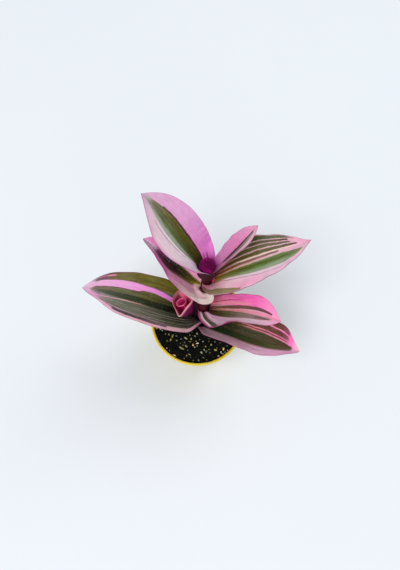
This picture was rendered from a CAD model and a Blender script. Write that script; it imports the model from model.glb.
# Potted tradescantia: fine shapes, finishes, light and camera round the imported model.
# The model is in millimetres here and goes to Blender in metres.
import math

import bpy
import numpy as np
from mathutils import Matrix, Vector


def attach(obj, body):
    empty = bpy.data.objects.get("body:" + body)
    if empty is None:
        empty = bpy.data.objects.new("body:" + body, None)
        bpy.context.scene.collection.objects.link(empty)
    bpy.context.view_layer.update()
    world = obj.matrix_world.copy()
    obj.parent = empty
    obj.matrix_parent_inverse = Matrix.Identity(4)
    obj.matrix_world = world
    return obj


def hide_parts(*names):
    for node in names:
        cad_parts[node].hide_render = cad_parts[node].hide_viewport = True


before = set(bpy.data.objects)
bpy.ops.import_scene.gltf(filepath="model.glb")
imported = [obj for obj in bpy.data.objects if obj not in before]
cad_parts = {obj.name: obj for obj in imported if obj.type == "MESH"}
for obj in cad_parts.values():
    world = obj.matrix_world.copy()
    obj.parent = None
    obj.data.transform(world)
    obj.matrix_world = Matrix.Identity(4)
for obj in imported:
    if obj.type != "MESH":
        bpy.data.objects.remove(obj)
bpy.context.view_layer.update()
scene = bpy.context.scene
MM = 0.001
TAU = 2 * math.pi

# ------------------------------------------------------------------ camera
cam_data = bpy.data.cameras.new("camera")
cam_data.sensor_width = 36.0
cam_data.sensor_fit = "AUTO"
cam_data.lens = 34.42
cam_data.clip_start = 0.01
cam_data.clip_end = 20
camera = bpy.data.objects.new("camera", cam_data)
camera.location = (0.00139, -0.08282, 0.35810)
camera.rotation_euler = (math.radians(90 - 71.44), 0, 0)
scene.collection.objects.link(camera)
scene.camera = camera


# ------------------------------------------------------------------ numbers that shape the plant
POT_HEIGHT, RIM_R, BASE_R, POT_WALL, FLOOR_T = 49.0, 27.5, 18.1, 0.9, 1.4
HOLE_R, HOLE_RING_R, HOLES = 1.95, 11.0, 5
SOIL_TOP, GAP = 46.5, 0.3
LEAF_T, EDGE_T, SHEATH_T = 0.95, 0.5, 0.5
STEM_Z = [38, 47, 64, 79, 94, 108]
STEM_X = [1.6, 1.8, 2.9, 3.6, 4.6, 5.0]
STEM_Y = [-2.4, -1.6, 1.5, 4.4, 8.4, 10.6]
STEM_R = [3.0, 3.1, 3.1, 2.9, 2.6, 2.3]
STEM_TOP = 101.7
WIDTH_KNOTS = [0, 0.12, 0.3, 0.5, 0.7, 0.86, 0.95, 1]

LEAVES = {
    "leaf_lower_right": dict(
        node=47.59, ring=4.25, sheath=2, lean=7.44, open=9.79, length=57.92, wrapL=0.67, wrapR=0.77,
        az=[-30.53, -23.69, -17.44, -14.16], el=[27.49, 16.83, 8.43, 2.97, -4.55], roll=[-6.39, -7.98, -11.22],
        foldL=[31.6, 27.14, 22.79, 17.96], foldR=[27.49, 34.48, 29.97, 39.1], curlL=[8.66, 6.8, 1.39], curlR=[12.2, 11.59, 15.15],
        wL=[11.2, 12.81, 13.83, 14.18, 13.48, 9.7, 3.49], wR=[13.1, 13.39, 13.25, 14.04, 12.95, 7.91, 3.45]),
    "leaf_lower_left": dict(
        node=52.76, ring=3.73, sheath=3.89, lean=8.55, open=10.38, length=69.78, wrapL=0.8, wrapR=0.41,
        az=[179.49, 168.71, 167.55, 172.72], el=[38.6, 26.11, 12.44, -2.66, -16.48], roll=[-1.24, -4.75, -1.03],
        foldL=[24, 18.63, 15.43, 14.53], foldR=[19.68, 19.79, 18.29, 15.63], curlL=[5.9, -7.36, 1.3], curlR=[-0.38, 4.55, -2.13],
        wL=[11.89, 14.03, 14.72, 13.81, 11.48, 5.88, 2.6], wR=[12.73, 13.7, 14.03, 13.65, 11.28, 6.93, 2.42]),
    "leaf_mid_right": dict(
        node=61.53, ring=3.72, sheath=4.29, lean=6.94, open=5, length=42.81, wrapL=0.86, wrapR=0.82,
        az=[-18.18, -15.49, -15.33, -14.5], el=[33.09, 26.77, 19.69, 6.47, -7.71], roll=[11.92, -3.12, -4.2],
        foldL=[34.05, 29.02, 21.82, 14.28], foldR=[9.05, 23, 28.84, 33.95], curlL=[10.71, 11.81, -2.8], curlR=[-30.58, 33.87, 1.92],
        wL=[8.58, 7.92, 9.17, 10.22, 10.46, 6.84, 2.28], wR=[9.86, 11, 11.74, 10.68, 9.83, 6.3, 2.56]),
    "leaf_mid_left": dict(
        node=74.92, ring=3.66, sheath=5.81, lean=9.64, open=7.36, length=44.47, wrapL=0.95, wrapR=0.85,
        az=[152.15, 147.69, 143.41, 142.49], el=[58.2, 45.67, 36.26, 29.86, 21.01], roll=[9.93, 8.92, 17.4],
        foldL=[32.93, 31.37, 35.87, 38.26], foldR=[24.69, 22.06, 19.46, 16.55], curlL=[11.88, 0.42, 27.01], curlR=[7.52, 4.18, 0.11],
        wL=[11.37, 11.89, 12, 11.39, 8.58, 5.56, 3.27], wR=[10.19, 11.46, 11.96, 11.11, 8.77, 5.88, 3.18]),
    "leaf_upper_right": dict(
        node=87.51, ring=3.34, sheath=6.32, lean=7.69, open=5.88, length=55.4, wrapL=0.95, wrapR=0.82,
        az=[2.63, 10.28, 18.14, 28.39], el=[45.67, 32.92, 21.26, 13.01, 7.3], roll=[-8.71, -6.4, -8.97],
        foldL=[4.6, 12.57, 18.19, 21.17], foldR=[24.51, 23.69, 26.62, 28.97], curlL=[-14.65, 4.07, -0.03], curlR=[2.96, 4.81, 10.48],
        wL=[9.06, 11.58, 13.93, 13.99, 10.75, 6.14, 1.78], wR=[11.9, 13.73, 14.81, 13.16, 10.47, 5.74, 1.62]),
    "leaf_upper_left": dict(
        node=97.99, ring=4.5, sheath=4.52, lean=8.08, open=10.42, length=49.72, wrapL=0.94, wrapR=0.6,
        az=[142.11, 136.81, 137.51, 146.98], el=[55.42, 48.55, 42.85, 34.7, 23.77], roll=[14.32, 2.11, 5.17],
        foldL=[46.4, 30.92, 19.39, 15.38], foldR=[16.57, 17.49, 17.81, 17.46], curlL=[25.82, -9.69, 7.67], curlR=[-2.16, 1.62, -0.15],
        wL=[11.61, 12.14, 12.95, 13.53, 11.04, 6.31, 2.32], wR=[10.38, 11.63, 12.91, 12.92, 11.16, 6.8, 2.76]),
    "leaf_top_right": dict(
        node=100.47, ring=3.06, sheath=2, lean=5.24, open=5, length=38.63, wrapL=0.81, wrapR=0.78,
        az=[13.78, 23.18, 31.15, 37.46], el=[53.51, 54.69, 54.59, 51.2, 45.76], roll=[-2.6, -9.24, -4.87],
        foldL=[25.53, 22.89, 20.14, 17], foldR=[29.29, 30.8, 27.75, 22.75], curlL=[3.18, 3.49, 0.59], curlR=[9.9, 28.81, -0.46],
        wL=[4.12, 3.83, 4.81, 5.83, 5.5, 3.85, 1.68], wR=[2.81, 3.81, 5.22, 5.86, 5.58, 3.89, 1.62]),
}

SHOOT_AXIS = np.array([[-2.5, 0.2, 62.2], [-5.2, 0.4, 68.5], [-8.2, 2.2, 74.6]])
SHOOT_S = [0, 0.12, 0.3, 0.5, 0.75, 1]
SHOOT_R = [0.6, 1.3, 2.4, 3.5, 4.3, 4.8]
SHOOT_MOUTH = np.array([[-2.7, 4.07, 73.6], [-5.92, -0.7, 74.4], [-9.73, -5.57, 75.2], [-11.75, -2.39, 75.4], [-13.44, 1.32, 75.2],
                        [-13.51, 4.84, 74.8], [-11.2, 8.75, 74.2], [-7.41, 11.03, 73.4], [-3.82, 8.49, 73.2]])
SHOOT_WALL = 0.6
ROLL_S = [0.24, 0.32, 0.45, 0.6, 0.75, 0.88, 0.97]
ROLL_R = [0.45, 0.9, 1.45, 1.95, 2.25, 2.45, 2.65]
ROLL_TOP = np.array([-8.9, 2.6, 75.9])


# ------------------------------------------------------------------ mathematics
def through(k, v, x):
    """Smooth curve through the values v at the knots k."""
    k, v, x = (np.asarray(a, float) for a in (k, v, x))
    n = len(k)
    d = np.diff(v) / np.diff(k)
    m = np.empty(n)
    m[0], m[-1] = d[0], d[-1]
    if n > 2:
        h = np.diff(k)
        m[1:-1] = (d[:-1] * h[1:] + d[1:] * h[:-1]) / (h[1:] + h[:-1])
    xx = np.clip(x, k[0], k[-1])
    i = np.clip(np.searchsorted(k, xx, side="right") - 1, 0, n - 2)
    h = k[i + 1] - k[i]
    u = (xx - k[i]) / h
    return (2 * u**3 - 3 * u**2 + 1) * v[i] + (u**3 - 2 * u**2 + u) * m[i] * h + (-2 * u**3 + 3 * u**2) * v[i + 1] + (u**3 - u**2) * m[i + 1] * h


def smooth(x):
    x = np.clip(x, 0, 1)
    return x * x * (3 - 2 * x)


def unit(a):
    a = np.asarray(a, float)
    return a / (np.linalg.norm(a, axis=-1, keepdims=True) + 1e-12)


def stem_point(z):
    z = np.asarray(z, float)
    return np.stack([through(STEM_Z, STEM_X, z), through(STEM_Z, STEM_Y, z), z], -1)


def stem_heading(z):
    return unit(stem_point(np.asarray(z, float) + 0.05) - stem_point(np.asarray(z, float) - 0.05))


def lattice(ix, iy, iz, seed):
    """A repeatable number from 0 to 1 for each lattice point."""
    h = (ix.astype(np.int64) * 374761393 + iy.astype(np.int64) * 668265263 + iz.astype(np.int64) * 2147483647 + seed * 144665) & 0xFFFFFFFF
    h = ((h ^ (h >> 13)) * 1274126177) & 0xFFFFFFFF
    h = ((h ^ (h >> 16)) * 2246822519) & 0xFFFFFFFF
    return ((h ^ (h >> 15)) & 0xFFFFFF) / float(0xFFFFFF)


def noise3(x, y, z, seed=0):
    """Smooth value noise from -1 to 1."""
    x, y, z = np.broadcast_arrays(np.asarray(x, float), np.asarray(y, float), np.asarray(z, float))
    x0, y0, z0 = np.floor(x), np.floor(y), np.floor(z)
    fx, fy, fz = smooth(x - x0), smooth(y - y0), smooth(z - z0)
    out = 0
    for dx in (0, 1):
        for dy in (0, 1):
            for dz in (0, 1):
                w = (fx if dx else 1 - fx) * (fy if dy else 1 - fy) * (fz if dz else 1 - fz)
                out = out + w * lattice(x0 + dx, y0 + dy, z0 + dz, seed)
    return out * 2 - 1


# ------------------------------------------------------------------ meshes
def make(name, pts, faces, attrs=None, uv=None, flat=False, flip=None):
    """An object from points in mm and a list of (n, 3) or (n, 4) arrays of faces. attrs are numbers for each point; uv has one (n, k, 2) array for each array of faces."""
    pts = np.asarray(pts, float)
    faces = [np.asarray(f, int) for f in faces if len(f)]
    if flip is None:
        vol = 0.0
        for f in faces:
            for a, b, c in ((0, 1, 2), (0, 2, 3))[: f.shape[1] - 2]:
                vol += np.einsum("ij,ij->i", pts[f[:, a]], np.cross(pts[f[:, b]], pts[f[:, c]])).sum()
        flip = vol < 0
    if flip:
        faces = [f[:, ::-1] for f in faces]
        uv = [u[:, ::-1] for u in uv] if uv is not None else None
    me = bpy.data.meshes.new(name)
    me.vertices.add(len(pts))
    me.vertices.foreach_set("co", (pts * MM).astype(np.float32).ravel())
    loops = np.concatenate([f.ravel() for f in faces])
    totals = np.concatenate([np.full(len(f), f.shape[1]) for f in faces])
    me.loops.add(len(loops))
    me.loops.foreach_set("vertex_index", loops.astype(np.int32))
    me.polygons.add(len(totals))
    me.polygons.foreach_set("loop_start", (np.cumsum(totals) - totals).astype(np.int32))
    me.polygons.foreach_set("loop_total", totals.astype(np.int32))
    me.polygons.foreach_set("use_smooth", np.full(len(totals), not flat))
    if uv is not None:
        layer = me.uv_layers.new(name="OFBake")
        layer.data.foreach_set("uv", np.concatenate([u.reshape(-1, 2) for u in uv]).astype(np.float32).ravel())
    me.update(calc_edges=True)
    for key, values in (attrs or {}).items():
        me.attributes.new(key, "FLOAT", "POINT").data.foreach_set("value", np.asarray(values, np.float32).ravel())
    me.validate()
    ob = bpy.data.objects.new(name, me)
    scene.collection.objects.link(ob)
    return ob


def finish_piece(ob, slot, material, *nodes):
    ob.data.materials.clear()
    ob.data.materials.append(material)
    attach(ob, "root")
    if nodes:
        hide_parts(*nodes)
    return ob


def grid_faces(rows, cols, start=0, wrap=False):
    i, j = np.meshgrid(np.arange(rows - 1), np.arange(cols if wrap else cols - 1), indexing="ij")
    k = (j + 1) % cols
    return np.stack([start + i * cols + j, start + (i + 1) * cols + j, start + (i + 1) * cols + k, start + i * cols + k], -1).reshape(-1, 4)


def ring_solid(R, cap0=None, cap1=None):
    """Points and faces of a closed tube from rings R (n, m, 3), with a point at each end."""
    n, m, _ = R.shape
    cap0 = R[0].mean(0) if cap0 is None else np.asarray(cap0, float)
    cap1 = R[-1].mean(0) if cap1 is None else np.asarray(cap1, float)
    pts = np.concatenate([R.reshape(-1, 3), [cap0], [cap1]])
    j = np.arange(m)
    k = (j + 1) % m
    tri0 = np.stack([np.full(m, n * m), j, k], -1)
    tri1 = np.stack([np.full(m, n * m + 1), (n - 1) * m + k, (n - 1) * m + j], -1)
    return pts, [grid_faces(n, m, 0, True), np.concatenate([tri0, tri1])]


def join(parts):
    """Joins (points, faces, attrs) into one."""
    P, F, A, at = [], {}, {}, 0
    for pts, faces, attrs in parts:
        for f in faces:
            f = np.asarray(f, int)
            if len(f):
                F.setdefault(f.shape[1], []).append(f + at)
        for key, val in attrs.items():
            A.setdefault(key, []).append(np.broadcast_to(np.asarray(val, float), (len(pts),)))
        P.append(pts)
        at += len(pts)
    return np.concatenate(P), [np.concatenate(f) for f in F.values()], {k: np.concatenate(v) for k, v in A.items()}


def outward(pts, faces):
    """faces turned so that a closed shape's faces point out."""
    vol = 0.0
    for f in faces:
        f = np.asarray(f, int)
        for a, b, c in ((0, 1, 2), (0, 2, 3))[: f.shape[1] - 2]:
            vol += np.einsum("ij,ij->i", pts[f[:, a]], np.cross(pts[f[:, b]], pts[f[:, c]])).sum()
    return [np.asarray(f)[:, ::-1] for f in faces] if vol < 0 else faces


def hair(root, direction, length, r, bend):
    """Points and faces of one tapering three-sided hair."""
    d = unit(direction)
    e1 = unit(np.cross(d, [0.31, 0.72, 0.62]))
    e2 = np.cross(d, e1)
    pts = []
    for s, k in ((-0.12, 1.0), (0.45, 0.75), (1.0, 0.0)):
        c = root + d * length * s + np.asarray(bend) * (max(s, 0) ** 2) * length
        if k == 0:
            pts.append(c)
        else:
            for q in range(3):
                a = TAU * q / 3
                pts.append(c + (e1 * math.cos(a) + e2 * math.sin(a)) * r * k)
    pts = np.array(pts)
    quads = [[0, 1, 4, 3], [1, 2, 5, 4], [2, 0, 3, 5]]
    tris = [[0, 2, 1], [3, 4, 6], [4, 5, 6], [5, 3, 6]]
    return pts, outward(pts, [np.array(quads), np.array(tris)])


# ------------------------------------------------------------------ node materials
def lin(c, k=1.0):
    """A colour given as 0 to 255 display values, as Blender's linear colour."""
    return tuple((((x / 255) / 12.92) if x / 255 <= 0.04045 else (((x / 255) + 0.055) / 1.055) ** 2.4) * k for x in c) + (1.0,)


def skin(c):
    """A leaf's colour as seen, less the light that its gloss adds."""
    return tuple(max(x - 0.016, 0.2 * x) * 1.03 for x in lin(c)[:3]) + (1.0,)


class Mat:
    """A node material with a Principled shader, and short ways to add nodes."""

    def __init__(self, name, roughness=0.5, specular=0.5, tint=lin):
        self.tint = tint
        self.mat = bpy.data.materials.new(name)
        self.mat.use_nodes = True
        self.t = self.mat.node_tree
        self.t.nodes.clear()
        self.out = self.t.nodes.new("ShaderNodeOutputMaterial")
        self.bsdf = self.t.nodes.new("ShaderNodeBsdfPrincipled")
        self.t.links.new(self.bsdf.outputs[0], self.out.inputs[0])
        self.bsdf.inputs["Roughness"].default_value = roughness
        self.bsdf.inputs["Specular IOR Level"].default_value = specular
        self.attrs = {}

    def put(self, socket, value):
        if isinstance(value, bpy.types.NodeSocket):
            self.t.links.new(value, socket)
        else:
            socket.default_value = value

    def set(self, name, value):
        self.put(self.bsdf.inputs[name], value)

    def attr(self, name):
        if name not in self.attrs:
            n = self.t.nodes.new("ShaderNodeAttribute")
            n.attribute_type = "GEOMETRY"
            n.attribute_name = name
            self.attrs[name] = n.outputs["Fac"]
        return self.attrs[name]

    def math(self, op, *args, clamp=False):
        n = self.t.nodes.new("ShaderNodeMath")
        n.operation = op
        n.use_clamp = clamp
        for s, a in zip(n.inputs, args):
            self.put(s, a)
        return n.outputs[0]

    def span(self, x, a, b, c=0.0, d=1.0, mode="SMOOTHSTEP"):
        n = self.t.nodes.new("ShaderNodeMapRange")
        n.interpolation_type = mode
        n.clamp = True
        for s, v in zip(n.inputs, (x, a, b, c, d)):
            self.put(s, v)
        return n.outputs[0]

    def curve(self, x, points, lo=-1.2, hi=1.2):
        """A smooth function of x through points, whose values lie from lo to hi."""
        n = self.t.nodes.new("ShaderNodeFloatCurve")
        c = n.mapping.curves[0]
        pts = sorted(points)
        if pts[0][0] > 0:
            pts.insert(0, (0.0, pts[0][1]))
        if pts[-1][0] < 1:
            pts.append((1.0, pts[-1][1]))
        while len(c.points) < len(pts):
            c.points.new(0.5, 0.5)
        for q, (px, py) in zip(c.points, pts):
            q.location = (px, (py - lo) / (hi - lo))
            q.handle_type = "AUTO_CLAMPED"
        n.mapping.update()
        self.put(n.inputs["Value"], x)
        return self.math("MULTIPLY_ADD", n.outputs[0], hi - lo, lo)

    def ramp(self, x, stops, mode="LINEAR"):
        n = self.t.nodes.new("ShaderNodeValToRGB")
        r = n.color_ramp
        r.interpolation = mode
        while len(r.elements) < len(stops):
            r.elements.new(0.5)
        for e, (p, col) in zip(r.elements, stops):
            e.position = p
        for e, (p, col) in zip(r.elements, stops):
            e.color = self.tint(col)
        self.put(n.inputs[0], x)
        return n.outputs[0]

    def vec(self, x, y, z=0.0):
        n = self.t.nodes.new("ShaderNodeCombineXYZ")
        for s, a in zip(n.inputs, (x, y, z)):
            self.put(s, a)
        return n.outputs[0]

    def coord(self):
        return self.t.nodes.new("ShaderNodeTexCoord").outputs["Object"]

    def scale(self, v, s):
        n = self.t.nodes.new("ShaderNodeVectorMath")
        n.operation = "MULTIPLY"
        self.put(n.inputs[0], v)
        n.inputs[1].default_value = s
        return n.outputs[0]

    def noise(self, v, scale=1.0, detail=2.0, rough=0.5, distortion=0.0, out="Fac"):
        n = self.t.nodes.new("ShaderNodeTexNoise")
        self.put(n.inputs["Vector"], v)
        n.inputs["Scale"].default_value = scale
        n.inputs["Detail"].default_value = detail
        n.inputs["Roughness"].default_value = rough
        n.inputs["Distortion"].default_value = distortion
        return n.outputs[out]

    def voronoi(self, v, scale=1.0, feature="F1", out="Distance", randomness=1.0):
        n = self.t.nodes.new("ShaderNodeTexVoronoi")
        n.feature = feature
        self.put(n.inputs["Vector"], v)
        n.inputs["Scale"].default_value = scale
        n.inputs["Randomness"].default_value = randomness
        return n.outputs[out]

    def mix(self, fac, a, b, blend="MIX"):
        n = self.t.nodes.new("ShaderNodeMix")
        n.data_type = "RGBA"
        n.blend_type = blend
        n.clamp_factor = True
        self.put(n.inputs[0], fac)
        self.put(n.inputs[6], a)
        self.put(n.inputs[7], b)
        return n.outputs[2]

    def bright(self, col, k):
        """col times the number k."""
        n = self.t.nodes.new("ShaderNodeVectorMath")
        n.operation = "SCALE"
        self.put(n.inputs[0], col)
        self.put(n.inputs["Scale"], k)
        return n.outputs[0]

    def bump(self, height, strength, distance, normal=None):
        n = self.t.nodes.new("ShaderNodeBump")
        n.inputs["Strength"].default_value = strength
        n.inputs["Distance"].default_value = distance
        self.put(n.inputs["Height"], height)
        if normal is not None:
            self.put(n.inputs["Normal"], normal)
        return n.outputs[0]


# ------------------------------------------------------------------ leaves
def leaf_frame(p, N=600):
    """Midrib, side and normal directions and the section's numbers along a leaf."""
    total = p["sheath"] + p["length"]
    A = np.linspace(0, total, N + 1)
    h = A[1]
    t = np.clip((A - p["sheath"]) / p["length"], 0, 1)
    T0 = stem_heading(p["node"])
    a0 = math.radians(p["az"][0])
    out = np.array([math.cos(a0), math.sin(a0), 0.0])
    out = unit(out - T0 * (out @ T0))
    el = np.radians(through([0, 0.25, 0.5, 0.75, 1], p["el"], t))
    az = np.radians(through([0, 0.33, 0.67, 1], p["az"], t))
    w = smooth((A - p["sheath"] * 0.55) / p["lean"])[:, None]
    D = unit(T0 * (1 - w) + np.stack([np.cos(el) * np.cos(az), np.cos(el) * np.sin(az), np.sin(el)], -1) * w)
    M = np.empty((N + 1, 3))
    M[0] = stem_point(p["node"]) + out * p["ring"]
    M[1:] = M[0] + np.cumsum((D[:-1] + D[1:]) * h / 2, axis=0)
    L = np.stack([-np.sin(az), np.cos(az), 0 * az], -1)
    L = unit(L - D * np.sum(L * D, 1, keepdims=True))
    Nv = np.cross(D, L)
    roll = np.radians(through([0, 0.5, 1], p["roll"], t)) * smooth((A - p["sheath"]) / p["open"])
    c, s = np.cos(roll)[:, None], np.sin(roll)[:, None]
    L, Nv = L * c + Nv * s, Nv * c - L * s
    op = smooth((A - p["sheath"] * 0.8) / p["open"])
    half = {}
    for side, key in ((1, "L"), (-1, "R")):
        kt = math.pi * p["wrap" + key]
        half[side] = (
            np.radians(through([0, 0.35, 0.7, 1], p["fold" + key], t)) * op,
            np.radians(through([0, 0.5, 1], p["curl" + key], t)) * op + kt * (1 - op),
            through(WIDTH_KNOTS, [*p["w" + key], 0], t) * op + kt * p["ring"] * (1 - op),
        )
    return dict(A=A, t=t, M=M, L=L, N=Nv, op=op, half=half, total=total)


def leaf_grid(p, rows, cols, waves=()):
    """The leaf's upper surface at the lengths rows and the positions cols across, -1 to 1. waves are (side, size, waves along the leaf, phase, middle, spread) of its margins' ripples."""
    f = leaf_frame(p)

    def along(x):
        if x.ndim == 1:
            return np.interp(rows, f["A"], x)
        return np.stack([np.interp(rows, f["A"], x[:, k]) for k in range(3)], -1)

    M, L, Nv, t, op = (along(f[k]) for k in ("M", "L", "N", "t", "op"))
    P = np.empty((len(rows), len(cols), 3))
    W = np.empty((len(rows), len(cols)))
    for j, v in enumerate(cols):
        side, q = (1, v) if v >= 0 else (-1, -v)
        ph, k, w = (along(x) for x in f["half"][side])
        k = np.where(np.abs(k) < 1e-4, 1e-4, k)
        X = w * (np.sin(ph + k * q) - np.sin(ph)) / k
        Y = w * (np.cos(ph) - np.cos(ph + k * q)) / k
        for s, size, n, phase, mid, spread in waves:
            if s == side:
                Y = Y + size * q**3.0 * np.sin(TAU * n * t + phase) * np.exp(-(((t - mid) / spread) ** 2)) * np.clip(w / 6, 0, 1) * op
        P[:, j] = M + (side * X)[:, None] * L + Y[:, None] * Nv
        W[:, j] = w
    # the base of the sheath closes on the stem
    vv = cols[None, :] + 0 * rows[:, None]
    AA = rows[:, None]

    def to_stem(P):
        z = P[..., 2]
        d = P - stem_point(z)
        T = stem_heading(z)
        d = d - T * np.sum(d * T, -1, keepdims=True)
        return d, np.linalg.norm(d, axis=-1), through(STEM_Z, STEM_R, z)

    d, r, rs = to_stem(P)
    k = smooth(1 - AA / min(2.6, 1.0 + 0.5 * p["sheath"]))
    P = P + d * (((np.minimum(r, rs + 0.16) - r) / r) * k)[..., None]
    # its mouth lies against the stem, and the basal lobe spreads out from there
    for side, hug, rise, a0, a1, a2, a3, v0, v1, v2 in p.get("lobes", ()):
        q = vv * side
        wa = smooth((AA - a0) / max(a1 - a0, 0.01)) * smooth((a3 - AA) / (a3 - a2))
        wv = smooth((q - v0) / (v1 - v0)) * (smooth((1 - q) / (1 - v2)) if v2 < 1 else 1)
        P = P + np.stack([0 * wv, 0 * wv, rise * wa * wv], -1)
        d, r, rs = to_stem(P)
        near = smooth((p.get("reach", 9.0) - r) / 4.0)
        P = P + d * (((np.minimum(r, rs + 0.3) - r) / r) * (hug * wa * wv * near))[..., None]
    # a lobe that is drawn through a net of points
    if "net" in p:
        ka, kv, to, a_start, a_end = p["net"]
        base = leaf_grid({k: q for k, q in p.items() if k != "net"}, np.array(ka, float), np.array(kv, float))[0]
        move = np.zeros((len(ka) + 2, len(kv) + 2, 3))
        first = kv[0] == 0
        off = 2 if first else 0
        move[1:-1, off : off + len(kv)] = np.array(to) - base
        move[:, 1 if first else -2] = 0.45 * move[:, 2 if first else -3]
        ea = np.array([a_start, *ka, a_end])
        ev = np.array([-0.95, -0.5, *kv] if first else [*kv, 0.5, 0.95])
        for i in np.where((rows > a_start) & (rows < a_end))[0]:
            m = np.stack([[float(through(ea, move[:, j, c], rows[i])) for j in range(len(ev))] for c in range(3)], -1)
            P[i] += np.stack([through(ev, m[:, c], cols) for c in range(3)], -1)
        d, r, rs = to_stem(P)
        k = smooth((a_end - AA) / 2.0)
        P = P + d * (((np.maximum(r, rs + 0.26) - r) / r) * k)[..., None]
    return P, W, t, op


# basal lobes: side, how closely it hugs the stem, how far it climbs, where along the leaf it starts, is full, ends, and where across
LEAVES["leaf_mid_left"]["lobes"] = [(-1, 0.8, 1.0, 0.5, 4.0, 6.0, 10.0, 0.1, 0.4, 1.0)]
LEAVES["leaf_upper_right"]["lobes"] = [(1, 0.8, 0.5, 0.5, 4.0, 6.0, 9.0, 0.1, 0.4, 1.0)]
LEAVES["leaf_mid_right"]["lobes"] = [(-1, 0.9, 0.5, 0.5, 3.0, 4.6, 6.4, 0.0, 0.3, 1.0), (-1, 0.7, 0.3, 4.0, 5.0, 6.0, 9.0, 0.0, 0.3, 0.55), (1, 0.7, 0.5, 0.5, 4.0, 6.0, 9.0, 0.1, 0.4, 1.0)]
LEAVES["leaf_upper_left"]["lobes"] = [(1, 0.9, 0.0, 0.0, 0.5, 2.0, 4.6, -0.1, 0.05, 1.0), (-1, 0.9, 0.0, 0.0, 0.5, 2.0, 4.6, -0.1, 0.05, 1.0)]
# nets of points that the two big lobes in front of the stem run through: lengths along, positions across, points, and where the net ends
LEAVES["leaf_mid_left"]["net"] = ([5, 6, 7, 8.5, 10, 12], [0, 0.25, 0.5, 0.75, 1], [
    [(1.81, 6.35, 85.2), (2.54, 4.35, 87.4), (4.79, 3.44, 87.4), (6.89, 3.80, 86.5), (8.31, 4.39, 86.0)],
    [(1.50, 6.64, 86.0), (2.59, 3.78, 88.1), (5.04, 2.56, 87.5), (7.29, 2.76, 86.8), (8.71, 2.63, 86.2)],
    [(1.07, 7.14, 86.5), (2.33, 3.59, 88.7), (4.83, 1.60, 87.5), (7.23, 1.43, 86.7), (8.59, 0.66, 86.2)],
    [(0.34, 7.79, 86.8), (1.60, 3.99, 89.1), (3.78, 1.14, 88.2), (5.86, -0.17, 87.3), (7.21, -1.53, 86.6)],
    [(-0.60, 8.15, 87.1), (0.35, 4.75, 89.1), (1.80, 1.46, 89.1), (3.25, -0.88, 88.9), (4.28, -2.82, 88.4)],
    [(-1.76, 8.36, 87.2), (-1.26, 5.27, 88.6), (-0.57, 2.34, 89.7), (0.16, -0.31, 90.4), (0.67, -2.71, 90.9)]], 0.3, 15.5)
LEAVES["leaf_upper_right"]["net"] = ([4.5, 6, 7.5, 9, 10.5], [-1, -0.75, -0.5, -0.25, 0], [
    [(2.72, 7.01, 94.4), (3.74, 5.94, 94.4), (5.27, 5.68, 94.2), (6.92, 6.31, 93.6), (7.79, 8.12, 91.8)],
    [(2.51, 5.71, 95.4), (3.73, 4.78, 95.6), (5.45, 4.74, 95.4), (7.20, 5.91, 94.8), (8.07, 8.35, 93.2)],
    [(2.70, 3.25, 97.0), (4.11, 3.18, 96.9), (5.94, 3.70, 96.6), (7.69, 5.54, 95.9), (8.66, 8.60, 94.5)],
    [(3.98, 0.53, 99.2), (5.29, 1.39, 98.8), (7.02, 3.13, 98.0), (8.47, 5.59, 97.0), (9.45, 8.87, 95.6)],
    [(6.03, -1.38, 101.6), (7.15, 0.39, 100.6), (8.49, 2.78, 99.4), (9.66, 5.86, 98.1), (10.44, 9.02, 96.7)]], 0.8, 13.0)

LEAVES["leaf_upper_right"]["wrapL"] = 0.68

WAVES = {
    "leaf_upper_left": [(-1, 0.13, 15.0, 0.6, 0.3, 0.16), (-1, 0.10, 9.0, 2.6, 0.36, 0.16), (1, 0.3, 4.0, 1.0, 0.5, 0.4), (-1, 0.25, 3.5, 2.0, 0.65, 0.25)],
    "leaf_top_right": [(1, 0.25, 5.0, 0.3, 0.6, 0.4), (-1, 0.25, 4.5, 1.7, 0.6, 0.4)],
    "leaf_upper_right": [(1, 0.4, 5.5, 0.9, 0.6, 0.35), (-1, 0.45, 5.0, 2.9, 0.55, 0.4), (-1, 0.2, 11.0, 0.9, 0.5, 0.4)],
    "leaf_mid_left": [(1, 0.35, 5.0, 0.2, 0.5, 0.4), (-1, 0.35, 4.0, 1.3, 0.6, 0.35)],
    "leaf_mid_right": [(1, 0.3, 4.5, 0.1, 0.6, 0.35), (-1, 0.45, 4.0, 2.1, 0.6, 0.35)],
    "leaf_lower_left": [(1, 0.45, 6.5, 1.1, 0.5, 0.4), (-1, 0.4, 5.5, 0.4, 0.6, 0.35), (1, 0.2, 13.0, 0.4, 0.6, 0.3)],
    "leaf_lower_right": [(1, 0.4, 5.0, 0.7, 0.7, 0.3), (-1, 0.5, 5.5, 2.4, 0.5, 0.4)],
}


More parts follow.
